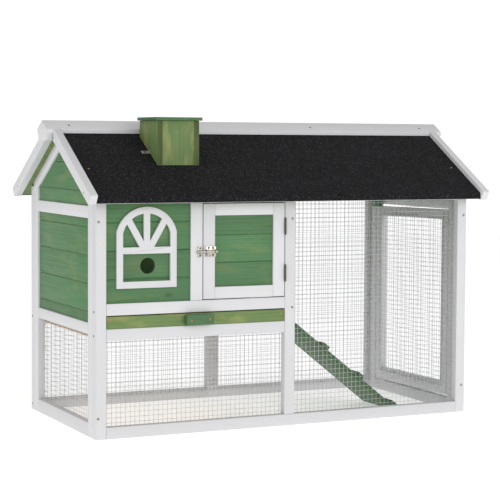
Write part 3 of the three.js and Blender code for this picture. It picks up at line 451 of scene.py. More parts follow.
def plane_edges(piece, radius, segments=2):
    """Rounds every edge, marks the rounding as the part that wears, and smooths the shading."""
    apply_modifier(piece, "BEVEL", width=radius, segments=segments, limit_method="ANGLE",
                   angle_limit=math.radians(20), use_clamp_overlap=True, miter_outer="MITER_SHARP")
    mesh = piece.data
    wear = [1.0] * len(mesh.vertices)
    for face in mesh.polygons:
        longest = max((mesh.vertices[a].co - mesh.vertices[b].co).length for a, b in face.edge_keys)
        if face.area > 2.2 * radius * longest:
            for corner in face.vertices:
                wear[corner] = 0.0
    mesh.attributes.new("edge", "FLOAT", "POINT").data.foreach_set("value", wear)
    bpy.ops.object.shade_smooth_by_angle(angle=math.radians(35))
    return piece


def number_boards(piece, pick=lambda centre: 0):
    """Stores a plank number on every face: the piece's own, plus what pick() adds for the face's place."""
    own = sum(ord(letter) * (n + 1) for n, letter in enumerate(piece.name)) % 97
    values = [own + pick(face.center) for face in piece.data.polygons]
    piece.data.attributes.new("board", "FLOAT", "FACE").data.foreach_set("value", values)


def done(piece, body, slot, material, *nodes):
    """Gives a piece its material, puts it on its body and lets it stand for its solids in the frame."""
    piece.data.materials.append(material)
    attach(piece, body)
    if nodes:
        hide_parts(*nodes)
    return piece


bodies = frame["record"]["behaviour"]["bodies"]
body_of_node = {node: body for body, nodes in bodies.items() for node in nodes}
slot_of_node = {part["node"]: part["material_slot"] for part in frame["record"]["subparts"]}
print("shaping tools are ready")

# %% [markdown]
# ## Planed lumber
# Stock lumber leaves the planer with its edges eased by about a millimetre, and paint gathers there and
# wears there first. All the single posts, rails and boards need the same treatment, so one loop takes each
# solid as its blank and rounds it. The grain follows the longest side, except on the sloping boards of the
# gables.

# %% Plane the posts, rails and boards
SHAPED_OTHERWISE = {
    "back_frame", "front_door_frame", "end_door_frame", "left_rafters",
    "right_rafters", "chimney_body", "ramp",
}
SLOPING = {"front_bargeboard": "front_slope", "back_bargeboard": "back_slope"}
EASED = {"window_trim": 0.8, "tray_handle": 2.0, "turn_button": 2.5, "chimney_cap": 1.4, "ridge_cap": 1.6}
BOARD_PITCH = 72.5 * MM


def grain_direction(node):
    for ending, direction in SLOPING.items():
        if node.endswith(ending):
            return direction
    low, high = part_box(node)
    size = high - low
    boards = node.endswith("_boards") or node == "room_partition"
    return "xyz"[max(range(2 if boards else 3), key=lambda axis: size[axis])]


def planed(node, radius=1.1):
    piece = blank_from(node, f"{node}_wood")
    plane_edges(piece, EASED.get(node, radius) * MM)
    boarded = node.endswith("_boards") or node == "room_partition"
    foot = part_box(node)[0].z
    number_boards(piece, lambda centre: int((centre.z - foot) / BOARD_PITCH + 0.8) if boarded else 0)
    slot = slot_of_node[node]
    return done(piece, body_of_node[node], slot, wood(slot, grain_direction(node)), node)


wooden = [node for node, slot in slot_of_node.items() if slot in COLOURS and node not in SHAPED_OTHERWISE]
for node in wooden:
    planed(node, 0.6 if node.endswith("_boards") else 1.1)
print("planed", len(wooden), "pieces")

# %% [markdown]
# ## Welded wire mesh
# The mesh is straight wires laid across each other and welded where they cross. A flat picture of a grid
# would have no thickness from the side, so each wire is real here: one thin six-sided rod, copied by an
# array into a layer, and a second layer across it. A little waviness keeps the sheet from looking drawn
# with a ruler. Blender seeds this noise from the clock, so we set its seed, and each run bends the wires
# alike.

# %% Weave the mesh panels
WIRE_PITCH = 12.9 * MM
FIRST_WIRE = 0.35 * WIRE_PITCH
WIRE_RADIUS = 0.5 * MM
WIRE_WAVE = 0.5 * MM
noise.seed_set(7)


def wire_layer(name, along, across, start, length, width, flat, level):
    """Wires that run along one axis, repeated across another, at a level on the flat axis."""
    direction = Vector([float(axis == along) for axis in range(3)])
    first = Vector(start)
    first[flat] = level
    first[across] += FIRST_WIRE
    wire = rod(name, first, first + direction * length, WIRE_RADIUS, 6)
    bends = int(length / WIRE_PITCH / 2)
    step = direction * length / bends
    for n in range(1, bends):
        edit(wire, lambda: bpy.ops.mesh.bisect(plane_co=first + step * n, plane_no=direction))
    offset = [0.0, 0.0, 0.0]
    offset[across] = WIRE_PITCH
    count = int((width - FIRST_WIRE) / WIRE_PITCH) + 1
    apply_modifier(wire, "ARRAY", count=count, use_relative_offset=False, use_constant_offset=True,
                   constant_offset_displace=offset)
    return wire


def wire_panel(name, low, high, flat):
    size = Vector(high) - Vector(low)
    one, other = [axis for axis in range(3) if axis != flat]
    middle = (low[flat] + high[flat]) / 2
    layers = [
        wire_layer(f"{name}_a", one, other, low, size[one], size[other], flat, middle - WIRE_RADIUS),
        wire_layer(f"{name}_b", other, one, low, size[other], size[one], flat, middle + WIRE_RADIUS),
    ]
    panel = join(name, layers)
    for point in panel.data.vertices:
        bend = noise.noise_vector(point.co * 9)
        bend[flat] *= 0.25
        point.co += bend * WIRE_WAVE
    bpy.ops.object.shade_smooth()
    return panel


MESH_LAP = 10 * MM
MID_RAIL_WIDE = 30 * MM
FIT = 0.3 * MM
whole_panels = "front_run_mesh", "front_lower_mesh", "left_lower_mesh", "end_door_mesh"
panels = {node: (node, *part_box(node)) for node in whole_panels}
sheet_low, sheet_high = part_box("back_mesh")
back_post_half = -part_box("back_wall_boards")[1].x - FIT  # the post stands in the middle of the hutch
lower_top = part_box("back_wall_boards")[0].z - FIT - MID_RAIL_WIDE + MESH_LAP
run_side = Vector((back_post_half - MESH_LAP, sheet_low.y, sheet_low.z))
room_side = Vector((back_post_half - MESH_LAP - 1 * MM, sheet_high.y, lower_top))
panels["back_run_mesh"] = ("back_mesh", run_side, sheet_high)
panels["back_lower_mesh"] = ("back_mesh", sheet_low, room_side)
for name, (node, low, high) in panels.items():
    flat = min(range(3), key=lambda axis: (high - low)[axis])
    panel = wire_panel(f"{name}_wires", low, high, flat)
    done(panel, body_of_node[node], "galvanised_wire", galvanised, node)
    print(name, "has", len(panel.data.polygons), "faces")

# %% [markdown]
# ## Frames joined from lengths of lumber
# The back, the two doors and the rafters are single solids in the frame, but a joiner makes them from
# lengths that butt together, and the joints show as fine lines. So these are built again from separate
# lengths. Each has its own grain, and its box comes from the solid and from its neighbours. The mesh door
# has racked on its hinges, so its lengths are slid down towards the back by the same small slope.

# %% Join the back frame, the doors and the rafters
# The ramp's green is the green stain darkened as painted shade, so it takes the green stain's slot.
SLOTS = {"ramp_stain": "green_stain"}  # woods that share a slot of the frame


def length_of_wood(name, low, high, body, kind, direction, radius=1.1, shape=None):
    piece = block(name, low, high)
    if shape:
        shape(piece)
    plane_edges(piece, radius * MM)
    number_boards(piece)
    return done(piece, body, SLOTS.get(kind, kind), wood(kind, direction))


def ladder(name, body, low, high, openings_x, rails, depth_axis):
    """Full-height stiles and the rails between them, in a frame that faces along depth_axis."""
    made = []
    wide = 1 - depth_axis

    def corner(across, upright, end):
        place = [0.0, 0.0, upright]
        place[wide], place[depth_axis] = across, (low, high)[end][depth_axis]
        return place

    edges = [low[wide], *[x for opening in openings_x for x in opening], high[wide]]
    for n in range(0, len(edges), 2):
        ends = corner(edges[n], low.z, 0), corner(edges[n + 1], high.z, 1)
        made.append(length_of_wood(f"{name}_stile_{n // 2 + 1}", *ends, body, "white_paint", "z"))
    for column, (start, end) in enumerate(openings_x):
        for n, (bottom, top) in enumerate(rails[column]):
            ends = corner(start + 0.1 * MM, bottom, 0), corner(end - 0.1 * MM, top, 1)
            grain = "x" if wide == 0 else "y"
            rail = length_of_wood(f"{name}_rail_{column + 1}_{n + 1}", *ends, body, "white_paint", grain)
            made.append(rail)
    return made


low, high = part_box("back_frame")
left_open, right_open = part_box("front_left_stile")[1].x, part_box("front_right_stile")[0].x
bottom_rail = (low.z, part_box("front_bottom_rail")[1].z)
top_rail = (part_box("front_top_rail")[0].z, high.z)
boards_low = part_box("back_wall_boards")[0].z - FIT
mid_rail = (boards_low - MID_RAIL_WIDE, boards_low)
columns = [(left_open, -back_post_half), (back_post_half, right_open)]
pieces = ladder("back_frame", "hutch", low, high, columns,
                [[bottom_rail, mid_rail, top_rail], [bottom_rail, top_rail]], 1)
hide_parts("back_frame")

low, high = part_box("front_door_frame")
inner_low, inner_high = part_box("front_door_boards")
columns = [(inner_low.x - FIT, inner_high.x + FIT)]
rails = [[(low.z, inner_low.z - FIT), (inner_high.z + FIT, high.z)]]
door_pieces = ladder("front_door", "front_door", low, high, columns, rails, 1)
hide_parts("front_door_frame")

END_DOOR_RACK = math.tan(math.radians(0.8))
low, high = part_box("end_door_frame")
mesh_low, mesh_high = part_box("end_door_mesh")
drop = (high.y - low.y) * END_DOOR_RACK
mesh_drop = (mesh_high.y - mesh_low.y) * END_DOOR_RACK
leaf_low = Vector((low.x, low.y, low.z + drop))
opening_y = (mesh_low.y + MESH_LAP, mesh_high.y - MESH_LAP)
to_mesh = (mesh_low.y - low.y) * END_DOOR_RACK
foot_rail = leaf_low.z, mesh_low.z + MESH_LAP + mesh_drop + to_mesh
rails = [[foot_rail, (mesh_high.z - MESH_LAP + to_mesh, high.z)]]
leaf_pieces = ladder("end_door", "end_door", leaf_low, high, [opening_y], rails, 0)
for piece in leaf_pieces:
    for point in piece.data.vertices:
        point.co.z -= (point.co.y - low.y) * END_DOOR_RACK
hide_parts("end_door_frame")

HALF_GAP = 0.15 * MM
for side in ("left", "right"):
    for half, toward in (("front", 1), ("back", -1)):
        name = f"{side}_{half}_rafter"
        rafter = blank_from(f"{side}_rafters", name)
        cut(rafter, (0, -HALF_GAP * toward, 0), (0, toward, 0), keep="inner")
        plane_edges(rafter, 1.1 * MM)
        number_boards(rafter)
        done(rafter, "hutch", "white_paint", wood("white_paint", f"{half}_slope"), f"{side}_rafters")
print("back frame:", len(pieces), "lengths, doors:", len(door_pieces) + len(leaf_pieces))

# %% [markdown]
# ## Chimney
# The chimney is only an ornament: four short boards nailed into a box, with the front board let in between
# the sides, so that their end grain shows as two dark strips. Their lower ends are sawn to the slope of the
# roof. We bisect each block with the plane of the felt and keep what is above it. A small steel angle holds
# it down.

# %% Build the chimney
CHIMNEY_BOARD = 14 * MM
LET_IN = 1.2 * MM
ridge_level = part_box("roof_front_felt")[1].z
slope_normal = (0, -math.sin(ROOF_PITCH), math.cos(ROOF_PITCH))


def saw_to_slope(piece):
    cut(piece, (0, 0, ridge_level + 0.4 * MM), slope_normal)


low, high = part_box("chimney_body")
inner = (low.x + CHIMNEY_BOARD + 0.1 * MM, high.x - CHIMNEY_BOARD - 0.1 * MM)
chimney = {
    "left": ((low.x, low.y, low.z), (low.x + CHIMNEY_BOARD, high.y, high.z)),
    "right": ((high.x - CHIMNEY_BOARD, low.y, low.z), (high.x, high.y, high.z)),
    "front": ((inner[0], low.y + LET_IN, low.z), (inner[1], low.y + CHIMNEY_BOARD, high.z)),
    "back": ((inner[0], high.y - CHIMNEY_BOARD, low.z), (inner[1], high.y - LET_IN, high.z)),
}
for side, ends in chimney.items():
    board = length_of_wood(f"chimney_{side}_board", *ends, "hutch", "olive_stain", "z", 0.7, saw_to_slope)
    if side in ("left", "right"):
        board.data.materials.append(wood("sawn_olive", "z"))
        for face in board.data.polygons:
            face.material_index = 1 if abs(face.normal.y) > 0.6 else 0
    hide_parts("chimney_body")
print("chimney boards:", len(chimney))

# %% [markdown]
# ## Ramp
# The ramp is one board with four battens across it, so that the rabbits' feet can grip. It is easier to
# build lying flat along its own slope and then tip it down about its hinge. Its upper end is cut plumb
# against the rail and its foot is cut level with the ground, both with a bisect.

# %% Build the ramp
RAMP_THICK = 12 * MM
BATTEN_WIDE, BATTEN_HIGH, BATTEN_INSET = 22 * MM, 12 * MM, 6 * MM
FIRST_BATTEN, BATTEN_PITCH, BATTENS = 50 * MM, 140 * MM, 4
joints = {joint["name"]: joint for joint in frame["joints"]}
pivot = Vector(joints["ramp_hinge"]["pos_m"])
low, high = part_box("ramp")
tip_down = Matrix.Translation((pivot.x, 0, pivot.z)) @ Matrix.Rotation(RAMP_ANGLE, 4, "Y")
ramp_length = (pivot.z - low.z) / math.sin(RAMP_ANGLE)


def tip_and_trim(piece):
    piece.data.transform(tip_down)
    cut(piece, low, (0, 0, 1))
    cut(piece, pivot, (1, 0, 0))


board_ends = (-20 * MM, low.y, -RAMP_THICK), (ramp_length + 20 * MM, high.y, 0)
# The ramp board and its battens get the darkened green stain: painted shade.
ramp = length_of_wood("ramp_board", *board_ends, "ramp", "ramp_stain", "ramp", 1.0, tip_and_trim)
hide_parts("ramp")
for n in range(BATTENS):
    start = FIRST_BATTEN + n * BATTEN_PITCH - BATTEN_WIDE / 2
    ends = (start, low.y + BATTEN_INSET, 0.1 * MM), (start + BATTEN_WIDE, high.y - BATTEN_INSET, BATTEN_HIGH)
    length_of_wood(f"ramp_batten_{n + 1}", *ends, "ramp", "ramp_stain", "y", 1.5,
                   lambda piece: piece.data.transform(tip_down))
print("ramp is", round(ramp_length, 3), "m long with", BATTENS, "battens")

# %% [markdown]
# ## Roofing felt
# The felt is one sheet a slope. It lies flat on the boards, bends over the eave and hangs down as a short
# skirt, and as it is soft it never lies quite flat. A grid is added as flat as the sheet was cut, each
# point is laid at its distance from the ridge along the slope, round the bend or down the skirt, and
# Solidify gives it its thickness.

# %% Lay the felt
FELT_THICK = 2.0 * MM
FOLD_RADIUS = 4 * MM
FELT_RIPPLE = 0.9 * MM


def lay_felt(node, toward):
    low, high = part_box(node)
    eave = max(abs(low.y), abs(high.y))
    level = high.z
    fold = math.pi / 2 - ROOF_PITCH
    tangent = FOLD_RADIUS * math.tan(fold / 2)
    slope_run = eave / math.cos(ROOF_PITCH) - tangent
    eave_level = level - eave * math.tan(ROOF_PITCH)
    cut_width = slope_run + FOLD_RADIUS * fold + (eave_level - tangent - low.z)
    select_only()
    bpy.ops.mesh.primitive_grid_add(x_subdivisions=110, y_subdivisions=42, size=1)
    sheet = settle(bpy.context.object, f"{node}_sheet")
    for point in sheet.data.vertices:
        along = (point.co.x + 0.5) * (high.x - low.x) + low.x
        out = (0.5 - point.co.y) * cut_width
        fine = noise.noise(Vector((along * 25, out * 25, 5)))
        wave = noise.noise(Vector((along * 7, out * 9, toward))) + 0.4 * fine
        sink = FELT_RIPPLE * (0.5 - 0.5 * wave) * min(1, out / 0.05)
        if out < slope_run:
            y, z = out * math.cos(ROOF_PITCH), -out * math.sin(ROOF_PITCH)
            turn = 0.0
        else:
            turn = min(fold, (out - slope_run) / FOLD_RADIUS)
            rest = max(0.0, out - slope_run - fold * FOLD_RADIUS)
            centre_y = slope_run * math.cos(ROOF_PITCH) - FOLD_RADIUS * math.sin(ROOF_PITCH)
            centre_z = -slope_run * math.sin(ROOF_PITCH) - FOLD_RADIUS * math.cos(ROOF_PITCH)
            y = centre_y + FOLD_RADIUS * math.sin(ROOF_PITCH + turn)
            z = centre_z + FOLD_RADIUS * math.cos(ROOF_PITCH + turn) - rest
        face = ROOF_PITCH + turn
        y -= math.sin(face) * sink
        z -= math.cos(face) * sink
        point.co = (along, toward * y, level + z)
    edit(sheet, lambda: bpy.ops.mesh.normals_make_consistent(inside=False))
    if sheet.data.polygons[0].normal.z < 0:
        edit(sheet, lambda: bpy.ops.mesh.flip_normals())
    apply_modifier(sheet, "SOLIDIFY", thickness=FELT_THICK, offset=-1)
    bpy.ops.object.shade_smooth_by_angle(angle=math.radians(50))
    return done(sheet, "hutch", "roof_felt", felt, node)


for node, toward in (("roof_front_felt", -1), ("roof_back_felt", 1)):
    sheet = lay_felt(node, toward)
    print(sheet.name, "has", len(sheet.data.polygons), "faces")

# %% [markdown]
# ## Screws and nails
# A screw head is a small dished disc with a cross cut into it, turned in slightly deeper than the paint.
# One of each is modelled, the screw by a bevel and a cross-shaped cutter, the nail as a low dome, and every
# other is a copy with its own mesh, turned so that it faces out of the wood.

# %% Model a screw head and a nail head
def screw_head(name, radius):
    select_only()
    bpy.ops.mesh.primitive_cylinder_add(vertices=20, radius=radius, depth=1.4 * MM, location=(0, 0, 0))
    head = settle(bpy.context.object, name)
    apply_modifier(head, "BEVEL", width=0.25 * MM, segments=2, limit_method="ANGLE")
    arms = []
    for wide, long in ((0.22 * radius, 0.62 * radius), (0.62 * radius, 0.22 * radius)):
        arms.append(block("cutter", (-wide, -long, 0.25 * MM), (wide, long, 2 * MM)))
    for arm in arms:
        apply_modifier(head, "BOOLEAN", operation="DIFFERENCE", object=arm, solver="EXACT")
    for arm in arms:
        bpy.data.objects.remove(arm)
    select_only(head)
    bpy.ops.object.shade_smooth_by_angle(angle=math.radians(30))
    return head


def nail_head(name, radius):
    select_only()
    bpy.ops.mesh.primitive_uv_sphere_add(segments=16, ring_count=8, radius=radius, location=(0, 0, 0),
                                         scale=(1, 1, 0.35))
    head = settle(bpy.context.object, name)
    cut(head, (0, 0, -0.2 * MM), (0, 0, 1))
    bpy.ops.object.shade_smooth()
    return head


screw_pattern = screw_head("screw_pattern", 3.1 * MM)
nail_pattern = nail_head("nail_pattern", 2.6 * MM)
SUNK = 0.3 * MM


def drive(name, pattern, place, facing, body, material, spin=0.0, sink=0.0, size=1.0):
    """Puts a copy of a head at a place on the wood, facing out along a direction."""
    head = bpy.data.objects.new(name, pattern.data.copy())
    head.data.name = name
    bpy.context.scene.collection.objects.link(head)
    facing = Vector(facing).normalized()
    turn = facing.to_track_quat("Z", "Y").to_matrix().to_4x4() @ Matrix.Rotation(spin, 4, "Z")
    head.data.transform(Matrix.Translation(Vector(place) - facing * sink) @ turn @ Matrix.Scale(size, 4))
    return done(head, body, "plated_steel", material)


FRONT_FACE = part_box("front_left_stile")[0].y
LEFT_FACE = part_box("front_left_stile")[0].x
RIGHT_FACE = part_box("front_right_stile")[1].x
BACK_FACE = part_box("back_frame")[1].y
WALL_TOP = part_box("front_left_stile")[1].z
front_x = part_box("front_left_stile")[0].x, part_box("front_centre_stile")[0].x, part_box("front_right_stile")[0].x
HIGH_SCREW, LOW_SCREW, INSET = 75 * MM, 54 * MM, 9 * MM
front_spots = (
    (front_x[0] + 7 * MM, WALL_TOP - HIGH_SCREW), (front_x[0] + 6 * MM, LOW_SCREW),
    (front_x[1] + 21 * MM, WALL_TOP - HIGH_SCREW), (front_x[1] + 21.5 * MM, 317 * MM),
    (front_x[2] + 19 * MM, WALL_TOP - 74 * MM), (front_x[2] + 19 * MM, 76 * MM),
)
left_spots = (
    (FRONT_FACE + 16 * MM, 325 * MM), (FRONT_FACE + 16 * MM, 264 * MM),
    (BACK_FACE - INSET, 264 * MM), (BACK_FACE - INSET, 16 * MM),
)
back_x = LEFT_FACE + INSET, 0, RIGHT_FACE - INSET
screws = {
    "front": ((0, -1, 0), [(x, FRONT_FACE, z) for x, z in front_spots]),
    "left": ((-1, 0, 0), [(LEFT_FACE, y, z) for y, z in left_spots]),
    "right": ((1, 0, 0), [(RIGHT_FACE, y, z * MM) for y in (FRONT_FACE + 13 * MM, BACK_FACE - INSET)
                          for z in (16, 300, 585)]),
    "back": ((0, 1, 0), [(x, BACK_FACE, z * MM) for x in back_x for z in (16, 300, 612)]),
}
for side, (facing, places) in screws.items():
    for n, place in enumerate(places):
        drive(f"{side}_screw_{n + 1}", screw_pattern, place, facing, "hutch", rusted, n * 0.7, SUNK)

BOARD_MIDDLE = 20 * MM  # from a bargeboard's upper edge to its screws
for toward, place in ((-1, "front"), (1, "back")):
    facing = (0, toward * math.sin(ROOF_PITCH), math.cos(ROOF_PITCH))
    for side, sign in (("left", -1), ("right", 1)):
        out = 194 * MM
        spot = (sign * 544 * MM, toward * out, ridge_level - out * math.tan(ROOF_PITCH))
        drive(f"felt_nail_{place}_{side}", nail_pattern, spot, facing, "hutch", copper_nail, sink=SUNK)
        low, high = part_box(f"{side}_{place}_bargeboard")
        end = high.x if sign > 0 else low.x
        for n, out in enumerate((40 * MM, 275 * MM)):
            level = high.z - (out - 33 * MM) * math.tan(ROOF_PITCH) - BOARD_MIDDLE
            spot = (end, toward * out, level)
            drive(f"{side}_{place}_bargeboard_screw_{n + 1}", screw_pattern, spot, (sign, 0, 0), "hutch",
                  rusted, n + 0.4, SUNK, size=0.8)
    cap_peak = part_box("ridge_cap")[1].z
    for n, x in enumerate((-538 * MM, -180 * MM, 180 * MM, 540 * MM)):
        out = 23 * MM
        spot = (x, toward * out, cap_peak - out * math.tan(ROOF_PITCH))
        drive(f"ridge_screw_{place}_{n + 1}", screw_pattern, spot, facing, "hutch", rusted, n * 0.9, SUNK)

for n, (x, z) in enumerate(((-511, 304), (-28, 302))):
    spot = (x * MM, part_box("tray_front")[0].y, z * MM)
    drive(f"tray_nail_{n + 1}", nail_pattern, spot, (0, -1, 0), "tray", copper_nail, sink=0.2 * MM)
for n, (x, z) in enumerate(((-296, 296), (-244, 298))):
    spot = (x * MM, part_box("tray_handle")[0].y, z * MM)
    drive(f"tray_handle_nail_{n + 1}", nail_pattern, spot, (0, -1, 0), "tray", copper_nail, sink=0.2 * MM)
button = Vector(joints["turn_button_pivot"]["pos_m"])
button.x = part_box("turn_button")[1].x
drive("turn_button_screw", screw_pattern, button, (1, 0, 0), "turn_button", zinc, sink=0.1 * MM, size=1.3)
for n in range(BATTENS):
    for side, y in (("front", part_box("ramp")[0].y + 30 * MM), ("back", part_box("ramp")[1].y - 30 * MM)):
        spot = tip_down @ Vector((FIRST_BATTEN + n * BATTEN_PITCH, y, BATTEN_HIGH))
        facing = tip_down.to_3x3() @ Vector((0, 0, 1))
        drive(f"batten_nail_{side}_{n + 1}", nail_pattern, spot, facing, "ramp", copper_nail,
              sink=0.2 * MM, size=0.7)
print("screws:", sum(len(places) for _, places in screws.values()), "in the frames, with more on the roof")

# %% [markdown]
# ## Hinges
# A butt hinge is two leaves whose edges are curled into barrels, and a pin through all of them. The outer
# barrels belong to one leaf and the middle one to the other, which is how the two can turn. Each hinge here
# has one half on the hutch and the other on its door or ramp, so that it opens as the real one does.

# %% Hang the doors and the ramp
def rounded(piece, radius):
    apply_modifier(piece, "BEVEL", width=radius, segments=2, limit_method="ANGLE",
                   angle_limit=math.radians(30))
    bpy.ops.object.shade_smooth_by_angle(angle=math.radians(40))
    return piece


LEAF_ROUNDING = 0.2 * MM


def butt_hinge(name, centre, axis, length, radius, moving, fixed_leaf, moving_leaf, metal, replaced=()):
    """Barrels along an axis; each leaf is given as a piece that is already shaped."""
    centre, axis = Vector(centre), Vector(axis)

    def barrel(part, start, end, width=1.0):
        return rounded(rod(f"{name}_{part}", centre + axis * length * start, centre + axis * length * end,
                           radius * width, 20), 0.3 * MM)

    outer = [barrel("a", -0.5, -0.19), barrel("b", 0.19, 0.5), barrel("pin", -0.53, 0.53, 0.6)]
    outer.append(rounded(fixed_leaf, LEAF_ROUNDING))
    inner = [barrel("c", -0.18, 0.18), rounded(moving_leaf, LEAF_ROUNDING)]
    done(join(f"{name}_fixed_leaf", outer), "hutch", "plated_steel", metal)
    return done(join(f"{name}_moving_leaf", inner), moving, "plated_steel", metal, *replaced)


door_axis = Vector(joints["front_door_hinge"]["pos_m"])
door_edge, stile_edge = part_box("front_door_frame")[1].x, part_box("front_centre_stile")[0].x
for place in ("lower", "upper"):
    low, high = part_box(f"front_door_hinge_{place}")
    middle = Vector((door_axis.x, door_axis.y, (low.z + high.z) / 2))
    near, far = 0.1 * MM, 1.0 * MM
    on_door = block("leaf", (door_edge + near, door_axis.y, low.z), (door_edge + far, high.y, high.z))
    on_stile = block("leaf", (stile_edge - far, door_axis.y, low.z), (stile_edge - near, high.y, high.z))
    butt_hinge(f"front_door_{place}", middle, (0, 0, 1), high.z - low.z, 2.4 * MM, "front_door",
               on_stile, on_door, dark_steel, (f"front_door_hinge_{place}",))

end_axis = Vector(joints["end_door_hinge"]["pos_m"])
LEAF_WIDE, LEAF_LONG, LEAF_THICK = 23 * MM, 52 * MM, 1.2 * MM
for place, z in (("lower", 130 * MM), ("upper", 470 * MM)):
    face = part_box("end_door_frame")[1].x + 0.2 * MM
    foot, head, front = z - LEAF_LONG / 2, z + LEAF_LONG / 2, face + LEAF_THICK
    on_stile = block("leaf", (face, end_axis.y - LEAF_WIDE, foot), (front, end_axis.y - 1.5 * MM, head))
    on_door = block("leaf", (face, end_axis.y + 2 * MM, foot), (front, end_axis.y + LEAF_WIDE, head))
    butt_hinge(f"end_door_{place}", (end_axis.x, end_axis.y, z), (0, 0, 1), LEAF_LONG, 2.9 * MM, "end_door",
               on_stile, on_door, zinc)
    for n, up in enumerate((-16 * MM, 16 * MM)):
        for body, across in (("hutch", -14 * MM), ("end_door", 14 * MM)):
            spot = (face + LEAF_THICK, end_axis.y + across, z + up)
            drive(f"end_door_{place}_screw_{body}_{n + 1}", screw_pattern, spot, (1, 0, 0), body, zinc,
                  spin=n + across * 90, size=0.9)

rail_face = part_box("floor_cross_rail")[1].x
for place, y in (("front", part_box("ramp")[0].y + 34 * MM), ("back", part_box("ramp")[1].y - 34 * MM)):
    on_rail = block("leaf", (rail_face + 0.1 * MM, y - 14 * MM, pivot.z + 1 * MM),
                    (rail_face + 1.0 * MM, y + 14 * MM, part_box("floor_cross_rail")[1].z - 1 * MM))
    on_ramp = block("leaf", (2.5 * MM, y - 14 * MM, 0.1 * MM), (26 * MM, y + 14 * MM, 1.1 * MM))
    on_ramp.data.transform(tip_down)
    butt_hinge(f"ramp_{place}", (pivot.x, y, pivot.z), (0, 1, 0), 28 * MM, 1.9 * MM, "ramp",
               on_rail, on_ramp, zinc)
print("six hinges in all")

# %% [markdown]
# ## Barrel bolt
# The bolt is pressed steel: a plate with two straps, a rod with a knob that hangs down, and a keeper on the
# post whose loop catches the rod. The frame holds the plate, rod and keeper with sharp edges, so we round
# those, and bend the loop from a short tube that is cut in half.

# %% Finish the bolt
for node, radius in (("bolt_plate", 0.35), ("bolt_rod", 0.4), ("bolt_keeper", 0.35)):
    piece = rounded(blank_from(node, f"{node}_steel"), radius * MM)
    done(piece, body_of_node[node], "plated_steel", zinc, node)

low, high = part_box("bolt_keeper")
rod_low, rod_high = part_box("bolt_rod")
plate_low, plate_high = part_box("bolt_plate")
BOLT_RADIUS = 3 * MM
bolt_y, bolt_z = rod_high.y - BOLT_RADIUS, rod_high.z - BOLT_RADIUS
loop = rod("bolt_keeper_loop", (low.x + 3 * MM, bolt_y, bolt_z), (high.x - 3 * MM, bolt_y, bolt_z), 4.9 * MM,
           28)
core = rod("core", (low.x - 5 * MM, bolt_y, bolt_z), (high.x + 5 * MM, bolt_y, bolt_z), 3.5 * MM, 28)
apply_modifier(loop, "BOOLEAN", operation="DIFFERENCE", object=core, solver="EXACT")
bpy.data.objects.remove(core)
cut(loop, (0, low.y + 0.2 * MM, 0), (0, 1, 0), keep="inner")
done(rounded(loop, 0.25 * MM), "hutch", "plated_steel", zinc)
for n, (x, z) in enumerate([(x, z) for x in (plate_low.x + 9 * MM, plate_high.x - 9 * MM)
                            for z in (plate_low.z + 4.5 * MM, plate_high.z - 4.5 * MM)]):
    drive(f"bolt_plate_screw_{n + 1}", screw_pattern, (x, low.y, z), (0, -1, 0), "front_door", dark_steel, n,
          size=0.85)
for n, z in enumerate((low.z + 4.5 * MM, high.z - 4.5 * MM)):
    spot = ((low.x + high.x) / 2, low.y, z)
    drive(f"bolt_keeper_screw_{n + 1}", screw_pattern, spot, (0, -1, 0), "hutch", dark_steel, n, size=0.85)
print("bolt rod is", round(rod_high.x - rod_low.x, 3), "m long")

# %% [markdown]
# ## Chimney angle and staples
# A pressed steel angle, cut from thin sheet, screws the chimney to the roof through the felt. It is laid
# out on a level roof first and then turned to the slope. The mesh is held by wire staples shot into the
# frames from the inside, one every few centimetres and never quite straight. One crown is modelled and
# copied along each edge.

# %% Fix the chimney and staple the mesh
ANGLE_WIDE, ANGLE_LEG, ANGLE_THICK = 13 * MM, 22 * MM, 1.5 * MM
chimney_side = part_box("chimney_body")[0].x
ANGLE_OUT = 124 * MM  # from the ridge
on_slope = Vector((0, -ANGLE_OUT, ridge_level - ANGLE_OUT * math.tan(ROOF_PITCH)))
to_slope = Matrix.Translation(on_slope) @ Matrix.Rotation(ROOF_PITCH, 4, "X")
lying = block("lying", (chimney_side - ANGLE_LEG, -ANGLE_WIDE / 2, 0),
              (chimney_side, ANGLE_WIDE / 2, ANGLE_THICK))
upright_leg = block("standing", (chimney_side - ANGLE_THICK, -ANGLE_WIDE / 2, 0),
                    (chimney_side, ANGLE_WIDE / 2, ANGLE_LEG))
apply_modifier(lying, "BOOLEAN", operation="UNION", object=upright_leg, solver="EXACT")
bpy.data.objects.remove(upright_leg)
angle = rounded(lying, 0.5 * MM)
angle.name = angle.data.name = "chimney_angle"
angle.data.transform(to_slope)
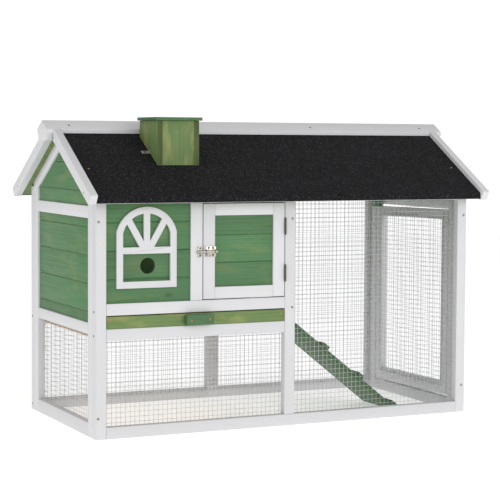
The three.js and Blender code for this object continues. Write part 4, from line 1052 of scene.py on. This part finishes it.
done(angle, "hutch", "plated_steel", zinc)
for n, (spot, facing) in enumerate((((chimney_side - 13 * MM, 0, ANGLE_THICK), (0, 0, 1)),
                                    ((chimney_side - ANGLE_THICK, 0, 14 * MM), (-1, 0, 0)))):
    drive(f"chimney_angle_screw_{n + 1}", screw_pattern, to_slope @ Vector(spot),
          to_slope.to_3x3() @ Vector(facing), "hutch", rusted, n)

CROWN_LONG, CROWN_WIDE, STAPLE_GAP = 10 * MM, 1.3 * MM, 62 * MM
crown_ends = (-CROWN_LONG / 2, -CROWN_WIDE / 2, -0.3 * MM), (CROWN_LONG / 2, CROWN_WIDE / 2, 0.8 * MM)
crown = rounded(block("crown", *crown_ends), 0.4 * MM)


def staple_round(name, node, low, high):
    """Staples a panel along its edges, on its inner side."""
    size = high - low
    flat = min(range(3), key=lambda axis: size[axis])
    across, up = [axis for axis in range(3) if axis != flat]
    inward = Vector((0, 0, 0))
    inward[flat] = -1 if (low[flat] + high[flat]) > 0 else 1
    face = high[flat] if inward[flat] > 0 else low[flat]
    facing = inward.to_track_quat("Z", "Y").to_matrix().to_4x4()
    margin = MESH_LAP / 2
    staples = []
    for axis, other in ((across, up), (up, across)):
        count = max(2, round(size[axis] / STAPLE_GAP))
        for n in range(count):
            for end in (low[other] + margin, high[other] - margin):
                spot = Vector((0, 0, 0))
                spot[axis], spot[other], spot[flat] = low[axis] + size[axis] * (n + 0.5) / count, end, face
                copy = bpy.data.objects.new("staple", crown.data.copy())
                bpy.context.scene.collection.objects.link(copy)
                spin = 0.9 * noise.noise(spot * 37) + (0 if axis == across else QUARTER)
                copy.data.transform(Matrix.Translation(spot) @ facing @ Matrix.Rotation(spin, 4, "Z"))
                staples.append(copy)
    return done(join(f"{name}_staples", staples), body_of_node[node], "galvanised_wire", zinc)


for name, (node, low, high) in panels.items():
    staple_round(name, node, low, high)
bpy.data.objects.remove(crown)
print("stapled", len(panels), "panels")

for pattern in (screw_pattern, nail_pattern):
    bpy.data.objects.remove(pattern)
